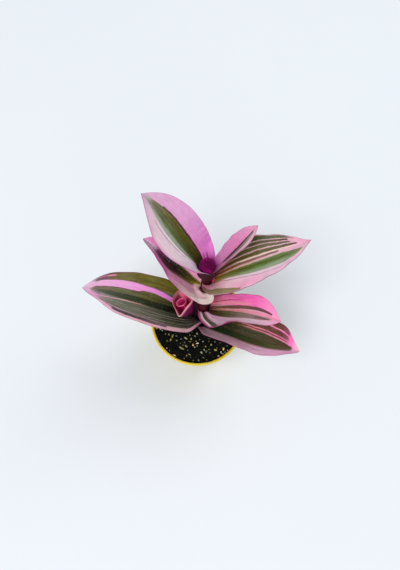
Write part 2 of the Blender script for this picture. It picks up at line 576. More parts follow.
def leaf_object(name, p, seed):
    total = p["sheath"] + p["length"]
    small = p["length"] < 40
    n = int(total / 0.4)
    rows = np.concatenate([np.linspace(0, total * 0.985, n), total * np.array([0.9895, 0.993, 0.9955, 0.9975, 0.999])])
    inner = np.linspace(-0.955, 0.955, 45 if small else 75)
    edge = np.array([0.972, 0.984, 0.9925, 0.9975])
    cols = np.concatenate([[-1], -edge[::-1], inner, edge, [1]])
    S, W, t, op = leaf_grid(p, rows, cols, WAVES[name])
    R, C = len(rows), len(cols)
    v = cols[None, :] * np.ones((R, 1))
    x = v * W
    T, O, A = t[:, None], op[:, None], rows[:, None]
    # gentle unevenness of the blade
    du = np.gradient(S, rows, axis=0)
    dv = np.gradient(S, cols, axis=1)
    nor = unit(np.cross(du, dv))
    sway = 0.22 * noise3(A / 11 + seed * 7, x / 8, 0.3, seed) + 0.10 * noise3(A / 5, x / 3.2 + 5, 1.7, seed + 1)
    sway = sway * O * np.clip(W / 8, 0, 1) * smooth((total - A) / 8) * smooth((A - p["sheath"]) / 8)
    S = S + nor * sway[..., None]
    nor = unit(np.cross(np.gradient(S, rows, axis=0), np.gradient(S, cols, axis=1)))
    o = smooth((A - p["sheath"] * 0.6) / (p["open"] * 0.8))
    thick = SHEATH_T * (1 - o) + (0.8 if small else 1) * (LEAF_T - (LEAF_T - EDGE_T) * v * v) * (1 - 0.35 * T * T) * o
    thick = thick * np.clip(0.35 + W / 2.2, 0, 1) * (0.3 + 0.7 * smooth(A / 1.6))
    em = (1 - np.abs(v)) * W
    half = thick / 2
    q = np.clip(em / half, 0, 1)
    off = half * (1 - np.sqrt(np.clip(1 - (1 - q) ** 2, 0, 1)))
    # relief: a groove along the midrib, fine parallel ribs, and a keel and ribs below
    fade = O * smooth((1 - T) / 0.25) * smooth(em / 1.2)
    ribs = np.cos(TAU * (7.5 if not small else 5) * np.abs(v)) * (1 - np.abs(v) ** 3)
    mid = np.exp(-((x / 0.42) ** 2))
    up = fade * (0.035 * ribs - 0.20 * mid + 0.02 * noise3(A / 1.6, x / 0.55, 0.1, seed + 3))
    down = fade * (0.05 * ribs + 0.34 * np.exp(-((x / 0.55) ** 2)) + 0.02 * noise3(A / 1.6, x / 0.6, 4.1, seed + 4))
    rib_s = (1 - O) * 0.05 * np.cos(TAU * 9 * np.abs(v))
    top = S - nor * off[..., None] + nor * up[..., None]
    bot = S - nor * (thick - off + down + rib_s)[..., None]
    bot[:, 0], bot[:, -1] = top[:, 0], top[:, -1]
    tip_n = nor[-1, C // 2]
    tip = leaf_grid(p, np.array([total]), np.array([0.0]))[0][0, 0] - tip_n * (thick[-1, C // 2] / 2)
    pts = np.concatenate([top.reshape(-1, 3), bot[:, 1:-1].reshape(-1, 3), [tip]])
    TI = np.arange(R * C).reshape(R, C)
    BI = np.empty((R, C), int)
    BI[:, 1:-1] = R * C + np.arange(R * (C - 2)).reshape(R, C - 2)
    BI[:, 0], BI[:, -1] = TI[:, 0], TI[:, -1]
    tipi = len(pts) - 1

    def quads(I):
        return np.stack([I[:-1, :-1], I[1:, :-1], I[1:, 1:], I[:-1, 1:]], -1).reshape(-1, 4)

    u = 0.02 + 0.95 * rows / total
    vt = 0.515 + 0.47 * (cols + 1) / 2
    vb = 0.015 + 0.47 * (cols + 1) / 2
    UT = np.stack(np.broadcast_arrays(u[:, None], vt[None, :]), -1)
    UB = np.stack(np.broadcast_arrays(u[:, None], vb[None, :]), -1)

    def uvq(U):
        return np.stack([U[:-1, :-1], U[1:, :-1], U[1:, 1:], U[:-1, 1:]], -2).reshape(-1, 4, 2)

    tq, bq = quads(TI), quads(BI)[:, ::-1]
    utq, ubq = uvq(UT), uvq(UB)[:, ::-1]
    j = np.arange(C - 1)
    ttri = np.stack([TI[-1, j], np.full(C - 1, tipi), TI[-1, j + 1]], -1)
    btri = np.stack([BI[-1, j], BI[-1, j + 1], np.full(C - 1, tipi)], -1)
    tipu = 0.975
    uttri = np.stack([UT[-1, j], np.stack([np.full(C - 1, tipu), (vt[j] + vt[j + 1]) / 2], -1), UT[-1, j + 1]], -2)
    ubtri = np.stack([UB[-1, j], UB[-1, j + 1], np.stack([np.full(C - 1, tipu), (vb[j] + vb[j + 1]) / 2], -1)], -2)
    # the open end of the sheath
    cap = np.stack([TI[0, j], TI[0, j + 1], BI[0, j + 1], BI[0, j]], -1)[1:-1]
    capl = np.array([[TI[0, 0], TI[0, 1], BI[0, 1]], [TI[0, -2], TI[0, -1], BI[0, -2]]])
    ucap = np.stack([UT[0, j], UT[0, j + 1], UT[0, j + 1] - [0.012, 0], UT[0, j] - [0.012, 0]], -2)[1:-1]
    ucapl = np.array([[UT[0, 0], UT[0, 1], UT[0, 1] - [0.012, 0]], [UT[0, -2], UT[0, -1], UT[0, -2] - [0.012, 0]]])
    full = lambda a: np.broadcast_to(a, (R, C))

    def both(a, at_tip, b=None):
        a = full(a)
        b = a if b is None else full(b)
        return np.concatenate([a.ravel(), b[:, 1:-1].ravel(), [at_tip]])

    sd_top = np.zeros((R, C))
    sd_top[:, 0] = sd_top[:, -1] = 0.5
    attrs = {
        "lt": both(T, 1.0), "lv": both((v + 1) / 2, 0.5), "la": both(A, total), "lx": both(x, 0.0), "em": both(em, 0.0),
        "sd": both(sd_top, 0.5, np.ones((R, C))), "lo": both(O, 1.0),
    }
    ob = make(name + "_skin", pts, [tq, bq, ttri, btri, cap, capl], attrs, [utq, ubq, uttri, ubtri, ucap, ucapl], flip=False)
    return ob, S, nor


def stripe(m, col, v, t, lo, hi, colour, s=0.022, s2=None, ts=None, st=0.015, k=1.0):
    """Paints a stripe between the lines lo and hi. Each is a number or points (t, v). s and s2 are the softness of the two edges, ts the ends along the leaf, st their softness."""
    s2 = s if s2 is None else s2

    def edge(line, soft, rising):
        if isinstance(line, (int, float)):
            if line <= -1 or line >= 1:
                return None
            a, b = line - soft, line + soft
            return m.span(v, a, b, 0.0 if rising else 1.0, 1.0 if rising else 0.0)
        d = m.math("SUBTRACT", v, m.curve(t, line))
        return m.span(d, -soft, soft, 0.0 if rising else 1.0, 1.0 if rising else 0.0)

    masks = [edge(lo, s, True), edge(hi, s2, False)]
    if ts:
        if ts[0] > 0:
            masks.append(m.span(t, ts[0] - st, ts[0] + st))
        if ts[1] < 1:
            masks.append(m.span(t, ts[1] - st, ts[1] + st, 1.0, 0.0))
    masks = [x for x in masks if x is not None]
    fac = masks[0] if masks else k
    for x in masks[1:]:
        fac = m.math("MULTIPLY", fac, x)
    if masks and k != 1.0:
        fac = m.math("MULTIPLY", fac, k)
    c = m.ramp(t, colour) if isinstance(colour, list) else m.tint(colour)
    return m.mix(fac, col, c)


def line(points, w):
    """The two edges of a line of width w along points."""
    return [(a, b - w / 2) for a, b in points], [(a, b + w / 2) for a, b in points]


def leaf_material(name, spec, seed, rim_c=(118, 46, 92), rim_k=0.6, rim_w=0.42, gain=1.0):
    m = Mat(name, 0.42, 0.1 if seed in (1, 6) else 0.14, skin)
    t, v01, la, lx, em, sd, lo = (m.attr(a) for a in ("lt", "lv", "la", "lx", "em", "sd", "lo"))
    v = m.math("MULTIPLY_ADD", v01, 2.0, -1.0)
    place = m.vec(m.math("ADD", la, seed * 31.0), lx, m.math("MULTIPLY", sd, 5.0))
    # edges of the stripes wander a little, and fray along the veins
    wander = m.noise(m.scale(place, (0.11, 0.22, 1)), 1.0, 2.0, 0.5)
    fray = m.noise(m.scale(place, (0.35, 3.2, 1)), 1.0, 2.0, 0.6)
    v = m.math("ADD", v, m.math("MULTIPLY_ADD", wander, 0.05, -0.025))
    v = m.math("ADD", v, m.math("MULTIPLY_ADD", fray, 0.05, -0.025))
    tt = m.math("ADD", t, m.math("MULTIPLY_ADD", m.noise(m.scale(place, (0.2, 4.0, 2)), 1.0, 1.0), 0.02, -0.01))
    col = None
    for layer in spec:
        if col is None:
            col = m.ramp(t, layer) if isinstance(layer, list) else m.tint(layer)
            continue
        args = dict(layer)
        col = stripe(m, col, v, tt, args.pop("lo"), args.pop("hi"), args.pop("c"), **args)
    # fibres along the veins, soft mottling, and a pale bloom
    fibre = m.noise(m.scale(place, (0.16, 4.6, 1)), 1.0, 3.0, 0.6)
    fine = m.noise(m.scale(place, (1.1, 9.0, 1)), 1.0, 2.0, 0.55)
    mottle = m.noise(m.scale(place, (0.35, 0.5, 1)), 1.0, 3.0, 0.55)
    k = m.math("MULTIPLY", m.math("MULTIPLY_ADD", fibre, 0.42, 0.79), m.math("MULTIPLY_ADD", mottle, 0.26, 0.87))
    k = m.math("MULTIPLY", k, m.math("MULTIPLY_ADD", fine, 0.16, 0.92))
    # veins run with the margins; they show most where the leaf is dark
    bw = m.t.nodes.new("ShaderNodeRGBToBW")
    m.put(bw.inputs[0], col)
    dark = m.span(bw.outputs[0], 0.06, 0.42, 1.0, 0.0)
    col = m.mix(0.07, col, bw.outputs[0])
    veins_v = m.vec(m.math("MULTIPLY_ADD", t, 5.0, seed * 3.0), m.math("MULTIPLY", v, 15.0), sd)
    veining = m.noise(veins_v, 1.0, 3.0, 0.62)
    hair_v = m.noise(m.vec(m.math("MULTIPLY_ADD", t, 9.0, seed * 5.0), m.math("MULTIPLY", v, 36.0), sd), 1.0, 2.0, 0.6)
    amp = m.math("MULTIPLY_ADD", dark, 1.2, 0.24)
    k = m.math("MULTIPLY", k, m.math("MULTIPLY_ADD", m.math("SUBTRACT", veining, 0.5), m.math("MULTIPLY", amp, 1.1), 1.0))
    k = m.math("MULTIPLY", k, m.math("MULTIPLY_ADD", m.math("SUBTRACT", hair_v, 0.5), amp, 1.0))
    # minute pale specks, and a few beads of dew
    dots = m.span(m.voronoi(m.scale(place, (1.5, 2.0, 1)), 1.0), 0.12, 0.26, 1.0, 0.0)
    dots = m.math("MULTIPLY", dots, m.span(m.noise(m.scale(place, (0.5, 0.9, 1)), 1.0, 2.0), 0.47, 0.6))
    col = m.mix(m.math("MULTIPLY", dots, m.math("MULTIPLY_ADD", dark, 0.34, 0.08)), col, lin((190, 196, 172)))
    cells = m.voronoi(m.scale(place, (2.6, 4.2, 1)), 1.0)
    k = m.math("MULTIPLY", k, m.math("MULTIPLY_ADD", cells, -0.10, 1.05))
    k = m.math("MULTIPLY", k, gain)
    # the midrib's groove holds a little shade
    rib = m.math("ABSOLUTE", lx)
    rib = m.math("MULTIPLY", m.span(rib, 0.0, 0.6, 0.82, 1.0), 1.0)
    k = m.math("MULTIPLY", k, rib)
    top = m.bright(col, k)
    # thin purple rim
    rim = m.span(m.math("ADD", em, m.math("MULTIPLY_ADD", fray, 0.3, -0.15)), 0.1, rim_w, 1.0, 0.0)
    top = m.mix(m.math("MULTIPLY", rim, rim_k), top, lin(rim_c) if isinstance(rim_c, tuple) else m.ramp(t, rim_c))
    # the underside is deep purple, with the stripes showing through faintly
    under = m.mix(0.86, m.bright(col, 0.5), lin((104, 26, 82)))
    veins = m.span(m.noise(m.scale(place, (0.08, 2.4, 1)), 1.0, 2.0, 0.5), 0.42, 0.62)
    under = m.mix(m.math("MULTIPLY", veins, 0.45), under, lin((150, 60, 118)))
    under = m.bright(under, m.math("MULTIPLY_ADD", mottle, 0.5, 0.75))
    under = m.mix(m.math("MULTIPLY", m.span(t, 0.02, 0.24, 1.0, 0.0), 0.8), under, lin((66, 12, 36)))
    under = m.mix(m.math("MULTIPLY", m.span(t, 0.08, 0.2, 1.0, 0.0), 0.94), under, lin((44, 2, 10)))
    # the sheath is dark maroon
    shade = m.mix(m.math("MULTIPLY_ADD", fibre, 1.0, -0.2, clamp=True), lin((38, 3, 10)), lin((82, 12, 28)))
    under = m.mix(m.span(lo, 0.1, 0.8, 1.0, 0.0), under, shade)
    col = m.mix(m.span(sd, 0.5, 0.9), top, under)
    m.set("Base Color", col)
    rough = m.math("ADD", m.math("MULTIPLY_ADD", fine, 0.16, 0.33), m.math("MULTIPLY", rim, 0.1))
    m.set("Roughness", m.math("ADD", rough, m.span(sd, 0.5, 0.9, 0.0, 0.22)))
    m.set("Subsurface Weight", 0.12)
    m.set("Subsurface Radius", (1.0, 0.45, 0.6))
    m.set("Subsurface Scale", 0.0012)
    m.set("Sheen Weight", 0.012)
    m.set("Sheen Roughness", 0.45)
    height = m.math("ADD", m.math("MULTIPLY", cells, 0.5), m.math("ADD", m.math("MULTIPLY", fibre, 0.9), m.math("MULTIPLY", fine, 0.5)))
    m.set("Normal", m.bump(height, 0.35, 0.00012))
    return m.mat


def L(lo, hi, c, **kw):
    return dict(lo=lo, hi=hi, c=c, **kw)


def LN(points, w, c, **kw):
    lo, hi = line(points, w)
    return dict(lo=lo, hi=hi, c=c, **kw)


PATTERNS = {
    "leaf_upper_left": [
        [(0.0, (205, 70, 170)), (0.2, (218, 140, 200)), (1.0, (200, 160, 188))],
        L(0.28, 1.2, [(0.0, (180, 150, 176)), (0.15, (196, 178, 190)), (0.4, (206, 186, 194)), (0.75, (208, 178, 190)), (0.92, (196, 160, 182)), (1.0, (184, 148, 176))], s=0.07),
        L(-1.2, -0.26, [(0.0, (196, 62, 160)), (0.1, (216, 112, 192)), (0.3, (214, 132, 196)), (0.55, (210, 150, 196)), (0.85, (204, 154, 190)), (0.95, (196, 158, 182))], s=0.02),
        L([(0, -0.02), (0.06, -0.18), (0.12, -0.27), (0.765, -0.27), (0.785, -0.19), (0.9, -0.3), (0.97, -0.42)],
          [(0, 0.08), (0.1, 0.18), (0.2, 0.36), (0.35, 0.405), (0.6, 0.415), (0.8, 0.39), (0.9, 0.26), (0.97, 0.0)],
          [(0.0, (84, 54, 60)), (0.15, (114, 118, 100)), (0.4, (140, 150, 132)), (0.75, (146, 154, 138)), (0.88, (158, 158, 146)), (1.0, (178, 160, 170))], s=0.03, ts=(0.02, 0.97), st=0.03),
        L(-0.04, 0.25, [(0.05, (62, 62, 26)), (0.2, (68, 76, 34)), (0.4, (82, 94, 48)), (0.65, (96, 108, 68)), (0.82, (114, 120, 92)), (0.93, (146, 144, 128))], s=0.07, ts=(0.03, 0.93), st=0.05),
        L(-0.27, 0.0, [(0.04, (62, 46, 16)), (0.2, (74, 68, 22)), (0.45, (92, 88, 42)), (0.7, (104, 98, 62)), (0.85, (120, 110, 92)), (0.95, (160, 140, 140))], s=0.03, ts=(0.02, 0.9), st=0.04),
        L(-0.075, -0.045, (58, 54, 22), s=0.014, ts=(0.08, 0.8), st=0.05, k=0.6),
        L(-0.165, -0.135, (64, 56, 28), s=0.014, ts=(0.1, 0.72), st=0.05, k=0.55),
        L(0.12, 0.15, (60, 76, 34), s=0.016, ts=(0.12, 0.8), st=0.06, k=0.45),
        L(-0.315, -0.25, [(0.0, (96, 30, 62)), (0.3, (84, 40, 46)), (0.77, (96, 58, 62))], s=0.018, ts=(0.03, 0.775), st=0.006),
        LN([(0.2, 0.42), (0.4, 0.445), (0.6, 0.46), (0.75, 0.49)], 0.03, (220, 212, 208), s=0.016, ts=(0.24, 0.72), st=0.08, k=0.7),
        LN([(0.24, 0.475), (0.4, 0.495), (0.55, 0.52), (0.73, 0.56)], 0.03, (118, 128, 114), s=0.014, ts=(0.27, 0.74), st=0.03, k=0.8),
        L(0.9, 1.2, (206, 140, 184), s=0.06, k=0.6),
        L(-0.45, -0.40, (132, 30, 108), s=0.015, ts=(0.065, 0.125), st=0.015, k=0.8),
        L(-0.63, -0.57, (120, 24, 98), s=0.018, ts=(0.05, 0.115), st=0.015, k=0.85),
    ],
    "leaf_top_right": [
        [(0.0, (140, 40, 105)), (0.2, (188, 100, 160)), (0.5, (214, 130, 182)), (1.0, (224, 150, 186))],
        L(0.02, 1.2, [(0.0, (150, 40, 120)), (0.12, (176, 84, 156)), (0.3, (200, 128, 176)), (0.6, (214, 128, 178)), (0.85, (218, 144, 184)), (1.0, (220, 158, 188))]),
        L(-1.2, 0.02, [(0.0, (130, 36, 92)), (0.2, (180, 110, 150)), (0.5, (208, 168, 180)), (0.8, (218, 184, 188)), (1.0, (224, 154, 184))]),
        L([(0.22, -0.2), (0.4, -0.42), (0.6, -0.5), (0.8, -0.5), (0.92, -0.36)], 0.0,
          [(0.2, (104, 76, 80)), (0.45, (118, 112, 96)), (0.7, (136, 130, 116)), (0.92, (156, 136, 132))], s=0.05, ts=(0.24, 0.91), st=0.03),
        L(-0.34, -0.30, (96, 88, 72), s=0.02, ts=(0.4, 0.85), st=0.05, k=0.5),
        L([(0.25, -0.08), (0.5, -0.16), (0.9, -0.08)], [(0.25, 0.03), (0.5, 0.055), (0.9, 0.05)],
          [(0.25, (96, 36, 62)), (0.5, (72, 46, 48)), (0.9, (98, 60, 66))], s=0.022, ts=(0.26, 0.905), st=0.012),
    ],
    "leaf_upper_right": [
        [(0.0, (200, 124, 146)), (0.2, (230, 182, 192)), (0.5, (228, 188, 206)), (1.0, (222, 172, 192))],
        L(0.05, 1.2, [(0.0, (190, 90, 110)), (0.15, (186, 124, 120)), (0.4, (194, 154, 152)), (0.75, (208, 166, 176)), (0.9, (216, 158, 182)), (1.0, (214, 154, 180))]),
        L(0.795, 0.955, [(0.2, (84, 80, 44)), (0.5, (80, 88, 50)), (0.8, (92, 96, 70)), (0.9, (134, 106, 106))], s=0.018, ts=(0.1, 0.87), st=0.02),
        L(0.645, 0.76, [(0.3, (94, 84, 54)), (0.6, (98, 92, 66)), (0.8, (98, 72, 66))], s=0.016, ts=(0.1, 0.815), st=0.008),
        L([(0.1, 0.42), (0.3, 0.465), (0.5, 0.48), (0.9, 0.49)], [(0.1, 0.56), (0.3, 0.60), (0.5, 0.61), (0.9, 0.60)],
          [(0.1, (98, 72, 38)), (0.4, (88, 88, 50)), (0.7, (100, 96, 70)), (0.85, (114, 88, 84))], s=0.016, ts=(0.08, 0.83), st=0.02),
        L([(0.05, 0.2), (0.2, 0.28), (0.4, 0.295), (0.9, 0.29)], [(0.05, 0.34), (0.2, 0.41), (0.4, 0.43), (0.9, 0.435)],
          [(0.05, (104, 68, 34)), (0.3, (92, 80, 42)), (0.6, (94, 92, 58)), (0.8, (100, 86, 68)), (0.88, (100, 66, 70))], s=0.016, ts=(0.04, 0.875), st=0.008),
        LN([(0.2, 0.235), (0.5, 0.262), (0.9, 0.262)], 0.05, (222, 198, 176), s=0.02, ts=(0.3, 0.9), st=0.08, k=0.8),
        L([(0.03, 0.1), (0.2, 0.13), (0.4, 0.14), (0.9, 0.15)], [(0.03, 0.2), (0.2, 0.228), (0.4, 0.232), (0.9, 0.228)],
          [(0.03, (120, 66, 34)), (0.25, (112, 84, 42)), (0.45, (128, 96, 84)), (0.7, (136, 96, 104))], s=0.016, ts=(0.03, 0.7), st=0.008),
        L([(0.02, -0.25), (0.1, -0.25), (0.2, -0.23), (0.3, -0.28), (0.45, -0.39), (0.6, -0.51), (0.7, -0.61), (0.82, -0.67), (0.9, -0.6)],
          [(0.02, 0.03), (0.1, 0.08), (0.3, 0.07), (0.72, 0.06), (0.8, -0.02), (0.86, -0.18), (0.9, -0.36)],
          [(0.03, (170, 120, 60)), (0.12, (146, 130, 66)), (0.3, (132, 144, 104)), (0.6, (138, 155, 125)), (0.85, (142, 148, 124)), (0.9, (170, 150, 150))], s=0.02, s2=0.02, ts=(0.03, 0.89), st=0.02),
        L([(0.05, -0.16), (0.3, -0.17), (0.5, -0.22), (0.7, -0.32), (0.8, -0.5), (0.88, -0.56)],
          [(0.05, 0.06), (0.3, 0.07), (0.72, 0.06), (0.8, -0.03), (0.88, -0.25)],
          [(0.03, (150, 112, 26)), (0.12, (112, 102, 22)), (0.3, (92, 100, 34)), (0.5, (84, 108, 44)), (0.7, (98, 118, 62)), (0.88, (116, 128, 88))], s=0.08, s2=0.02, ts=(0.03, 0.89), st=0.03),
        LN([(0.1, -0.02), (0.5, -0.06), (0.75, -0.2), (0.85, -0.36)], 0.03, (66, 82, 28), s=0.016, ts=(0.15, 0.84), st=0.05, k=0.55),
        L([(0.15, -0.32), (0.3, -0.38), (0.45, -0.5), (0.6, -0.64), (0.7, -0.73)], [(0.15, -0.26), (0.3, -0.29), (0.45, -0.41), (0.6, -0.53), (0.7, -0.63)],
          (216, 198, 206), s=0.035, ts=(0.14, 0.76), st=0.08, k=0.8),
        LN([(0.08, -0.27), (0.2, -0.33), (0.3, -0.38), (0.4, -0.48), (0.5, -0.60), (0.6, -0.70), (0.7, -0.79)], 0.035,
           [(0.0, (140, 44, 84)), (0.25, (148, 96, 128)), (0.6, (170, 136, 164))], s=0.022, ts=(0.02, 0.72), st=0.06, k=0.8),
        L(-0.96, -0.6, (236, 150, 188), s=0.09, ts=(0.27, 0.5), st=0.08, k=0.6),
        L(-0.985, [(0.0, -0.78), (0.03, -0.7), (0.07, -0.635), (0.15, -0.69), (0.25, -0.76), (0.34, -0.87)],
          [(0.0, (96, 64, 52)), (0.06, (132, 116, 86)), (0.2, (146, 132, 98)), (0.33, (160, 126, 108))], s=0.016, ts=(0.01, 0.335), st=0.008),
        LN([(0.05, -0.72), (0.15, -0.78), (0.3, -0.88)], 0.02, (104, 96, 62), s=0.014, ts=(0.04, 0.3), st=0.03, k=0.6),
        L(0.84, 1.2, (222, 160, 186), s=0.03, ts=(0.84, 1.0), st=0.04),
    ],
    "leaf_mid_left": [
        [(0.0, (204, 176, 172)), (0.2, (200, 150, 166)), (0.5, (196, 124, 158)), (0.8, (200, 130, 175)), (1.0, (208, 160, 190))],
        L(0.66, 1.2, [(0.0, (206, 190, 178)), (0.25, (212, 184, 184)), (0.45, (214, 154, 180)), (0.62, (206, 106, 164)), (0.8, (184, 90, 150)), (1.0, (180, 130, 164))], s=0.1),
        L(-1.2, -0.28, [(0.0, (220, 170, 180)), (0.2, (214, 140, 176)), (0.6, (208, 112, 168)), (0.85, (198, 110, 160)), (1.0, (188, 140, 168))], s=0.03),
        LN([(0.0, 0.42), (0.1, 0.6), (0.2, 0.78), (0.3, 0.92)], 0.035, (160, 148, 128), s=0.02, ts=(0.0, 0.3), st=0.05, k=0.6),
        LN([(0.0, 0.26), (0.1, 0.42), (0.2, 0.58), (0.3, 0.72), (0.42, 0.84)], 0.03, (164, 144, 132), s=0.02, ts=(0.0, 0.42), st=0.06, k=0.5),
        LN([(0.0, 0.1), (0.15, 0.3), (0.3, 0.5), (0.45, 0.68), (0.6, 0.8)], 0.03, (150, 96, 122), s=0.02, ts=(0.03, 0.6), st=0.06, k=0.45),
        LN([(0.05, 0.66), (0.12, 0.8), (0.18, 0.92)], 0.045, (224, 212, 204), s=0.02, ts=(0.02, 0.2), st=0.04, k=0.7),
        L([(0.05, -0.26), (0.2, -0.28), (0.8, -0.28)],
          [(0.03, -0.14), (0.1, -0.06), (0.2, 0.1), (0.3, 0.2), (0.4, 0.3), (0.5, 0.42), (0.6, 0.56), (0.67, 0.58), (0.74, 0.5), (0.8, 0.36), (0.86, 0.15)],
          [(0.03, (150, 128, 40)), (0.15, (128, 114, 44)), (0.3, (104, 92, 50)), (0.5, (88, 68, 54)), (0.7, (116, 72, 90)), (0.85, (156, 90, 130))], s=0.04, s2=0.05, ts=(0.03, 0.84), st=0.03),
        L([(0.05, -0.26), (0.3, -0.24), (0.8, -0.2)],
          [(0.05, -0.1), (0.2, -0.02), (0.35, 0.1), (0.5, 0.3), (0.62, 0.46), (0.72, 0.4), (0.8, 0.2)],
          [(0.05, (118, 104, 16)), (0.18, (86, 80, 14)), (0.33, (60, 56, 18)), (0.5, (48, 40, 24)), (0.66, (70, 44, 54)), (0.8, (110, 56, 92))], s=0.05, ts=(0.05, 0.8), st=0.03),
        LN([(0.08, -0.2), (0.3, -0.12), (0.5, 0.02), (0.65, 0.12)], 0.03, (44, 38, 16), s=0.02, ts=(0.1, 0.66), st=0.05, k=0.5),
        L(-0.2, 0.62, [(0.8, (172, 140, 160)), (0.9, (180, 152, 166)), (1.0, (180, 142, 164))], s=0.1, ts=(0.81, 1.0), st=0.03, k=0.85),
        L(-1.2, -0.3, (190, 106, 154), s=0.1, ts=(0.78, 0.95), st=0.05, k=0.7),
    ],
    "leaf_lower_left": [
        [(0.0, (120, 70, 90)), (0.1, (70, 66, 60)), (0.3, (86, 88, 70)), (0.6, (98, 102, 86)), (0.85, (124, 112, 112)), (0.95, (205, 168, 192))],
        L(0.84, 1.2, [(0.0, (160, 110, 130)), (0.15, (198, 156, 164)), (0.5, (214, 162, 172)), (0.75, (214, 164, 188)), (1.0, (208, 168, 192))], s=0.02),
        L(0.79, 0.9, [(0.25, (100, 84, 90)), (0.5, (84, 74, 78)), (0.7, (92, 76, 86))], s=0.018, ts=(0.28, 0.71), st=0.01),
        LN([(0.2, 0.8), (0.35, 0.765), (0.55, 0.745), (0.7, 0.75), (0.8, 0.82)], 0.04, [(0.2, (130, 108, 110)), (0.5, (156, 126, 132)), (0.8, (192, 140, 166))], s=0.018, ts=(0.26, 0.84), st=0.06, k=0.9),
        L(0.28, 0.73, [(0.05, (60, 54, 52)), (0.2, (62, 60, 50)), (0.45, (92, 92, 77)), (0.7, (106, 108, 94)), (0.82, (142, 130, 130))], s=0.02, ts=(0.05, 0.83), st=0.03),
        LN([(0.1, 0.44), (0.3, 0.46), (0.6, 0.48), (0.8, 0.52)], 0.022, (146, 140, 130), s=0.014, ts=(0.1, 0.8), st=0.08, k=0.5),
        LN([(0.05, 0.54), (0.3, 0.545), (0.6, 0.56)], 0.02, (150, 142, 134), s=0.014, ts=(0.06, 0.6), st=0.08, k=0.45),
        LN([(0.05, 0.68), (0.3, 0.68), (0.6, 0.69)], 0.024, (152, 144, 136), s=0.014, ts=(0.06, 0.62), st=0.08, k=0.55),
        LN([(0.35, 0.6), (0.5, 0.6), (0.7, 0.62), (0.8, 0.68)], 0.03, (122, 112, 104), s=0.02, ts=(0.36, 0.8), st=0.06, k=0.5),
        LN([(0.4, 0.265), (0.52, 0.275), (0.62, 0.30), (0.7, 0.345), (0.77, 0.42), (0.84, 0.52)], 0.05,
           [(0.4, (140, 112, 96)), (0.55, (190, 146, 142)), (0.8, (206, 154, 170))], s=0.018, ts=(0.47, 0.86), st=0.05, k=0.95),
        L(-0.02, 0.265, [(0.05, (40, 34, 30)), (0.25, (32, 34, 18)), (0.45, (46, 50, 28)), (0.65, (66, 74, 54)), (0.85, (88, 98, 82)), (0.93, (140, 124, 124))], s=0.03, ts=(0.03, 0.93), st=0.03),
        L(-0.34, 0.0, [(0.05, (48, 36, 26)), (0.25, (62, 56, 26)), (0.45, (88, 84, 44)), (0.7, (100, 98, 66)), (0.9, (124, 104, 96))], s=0.03, ts=(0.03, 0.92), st=0.03),
        L(0.1, 0.13, (44, 48, 26), s=0.016, ts=(0.2, 0.85), st=0.06, k=0.5),
        L(-0.14, -0.11, (60, 58, 28), s=0.016, ts=(0.2, 0.88), st=0.06, k=0.45),
        L(-0.27, -0.19, [(0.5, (92, 62, 58)), (0.9, (116, 72, 84))], s=0.02, ts=(0.5, 0.9), st=0.03, k=0.8),
        L(-1.2, -0.5, [(0.1, (70, 58, 26)), (0.25, (92, 84, 28)), (0.5, (100, 92, 36)), (0.7, (98, 88, 42)), (0.78, (106, 80, 58)), (0.85, (150, 110, 130))], s=0.02, ts=(0.08, 0.84), st=0.03),
        L(-0.735, -0.7, (76, 70, 14), s=0.016, ts=(0.2, 0.55), st=0.08, k=0.7),
        L(-0.87, -0.84, (92, 86, 20), s=0.016, ts=(0.2, 0.7), st=0.08, k=0.5),
        L(-0.9, -0.80, (188, 120, 140), s=0.02, ts=(0.735, 0.87), st=0.02, k=0.9),
        L([(0.2, -0.3), (0.27, -0.36), (0.33, -0.42), (0.42, -0.49), (0.5, -0.525), (0.6, -0.56), (0.7, -0.59), (0.8, -0.62), (0.86, -0.68), (0.92, -0.85), (0.96, -1.1)],
          [(0.2, -0.12), (0.27, -0.19), (0.33, -0.25), (0.4, -0.30), (0.5, -0.31), (0.515, -0.308), (0.545, -0.25), (0.88, -0.24), (0.93, -0.1)],
          [(0.2, (190, 90, 170)), (0.3, (212, 116, 192)), (0.5, (222, 140, 202)), (0.8, (214, 154, 198)), (1.0, (206, 164, 194))], s=0.018, ts=(0.1, 1.0), st=0.02),
        L(-0.86, -0.64, (112, 78, 92), s=0.03, ts=(0.79, 0.89), st=0.015, k=0.8),
        L(-1.2, 1.2, [(0.9, (206, 158, 190)), (1.0, (212, 176, 198))], ts=(0.925, 1.0), st=0.02),
        L(0.5, 1.2, (204, 144, 178), s=0.04, ts=(0.83, 1.0), st=0.03, k=0.85),
    ],
    "leaf_mid_right": [
        [(0.0, (120, 60, 70)), (0.2, (200, 130, 150)), (0.6, (212, 170, 186)), (1.0, (232, 150, 188))],
        L(0.38, 1.2, [(0.0, (150, 50, 70)), (0.1, (214, 104, 126)), (0.3, (226, 112, 160)), (0.5, (236, 98, 174)), (0.65, (240, 94, 178)), (0.8, (240, 128, 184)), (1.0, (236, 146, 188))], s=0.02),
        L([(0.1, 0.36), (0.3, 0.42), (0.6, 0.42)], [(0.1, 0.46), (0.2, 0.55), (0.3, 0.6), (0.6, 0.58)], (226, 132, 152), s=0.03, ts=(0.08, 0.6), st=0.1, k=0.8),
        LN([(0.06, 0.46), (0.12, 0.53), (0.2, 0.6), (0.3, 0.65), (0.4, 0.68), (0.5, 0.7)], 0.04, [(0.05, (150, 60, 80)), (0.25, (122, 44, 66)), (0.5, (180, 60, 120))], s=0.016, ts=(0.06, 0.5), st=0.05, k=0.95),
        L([(0.03, -0.06), (0.1, 0.0), (0.2, 0.09), (0.3, 0.14), (0.5, 0.2), (0.7, 0.24), (0.9, 0.26)], [(0.03, 0.14), (0.1, 0.2), (0.2, 0.27), (0.3, 0.33), (0.5, 0.395), (0.7, 0.415), (0.9, 0.40)],
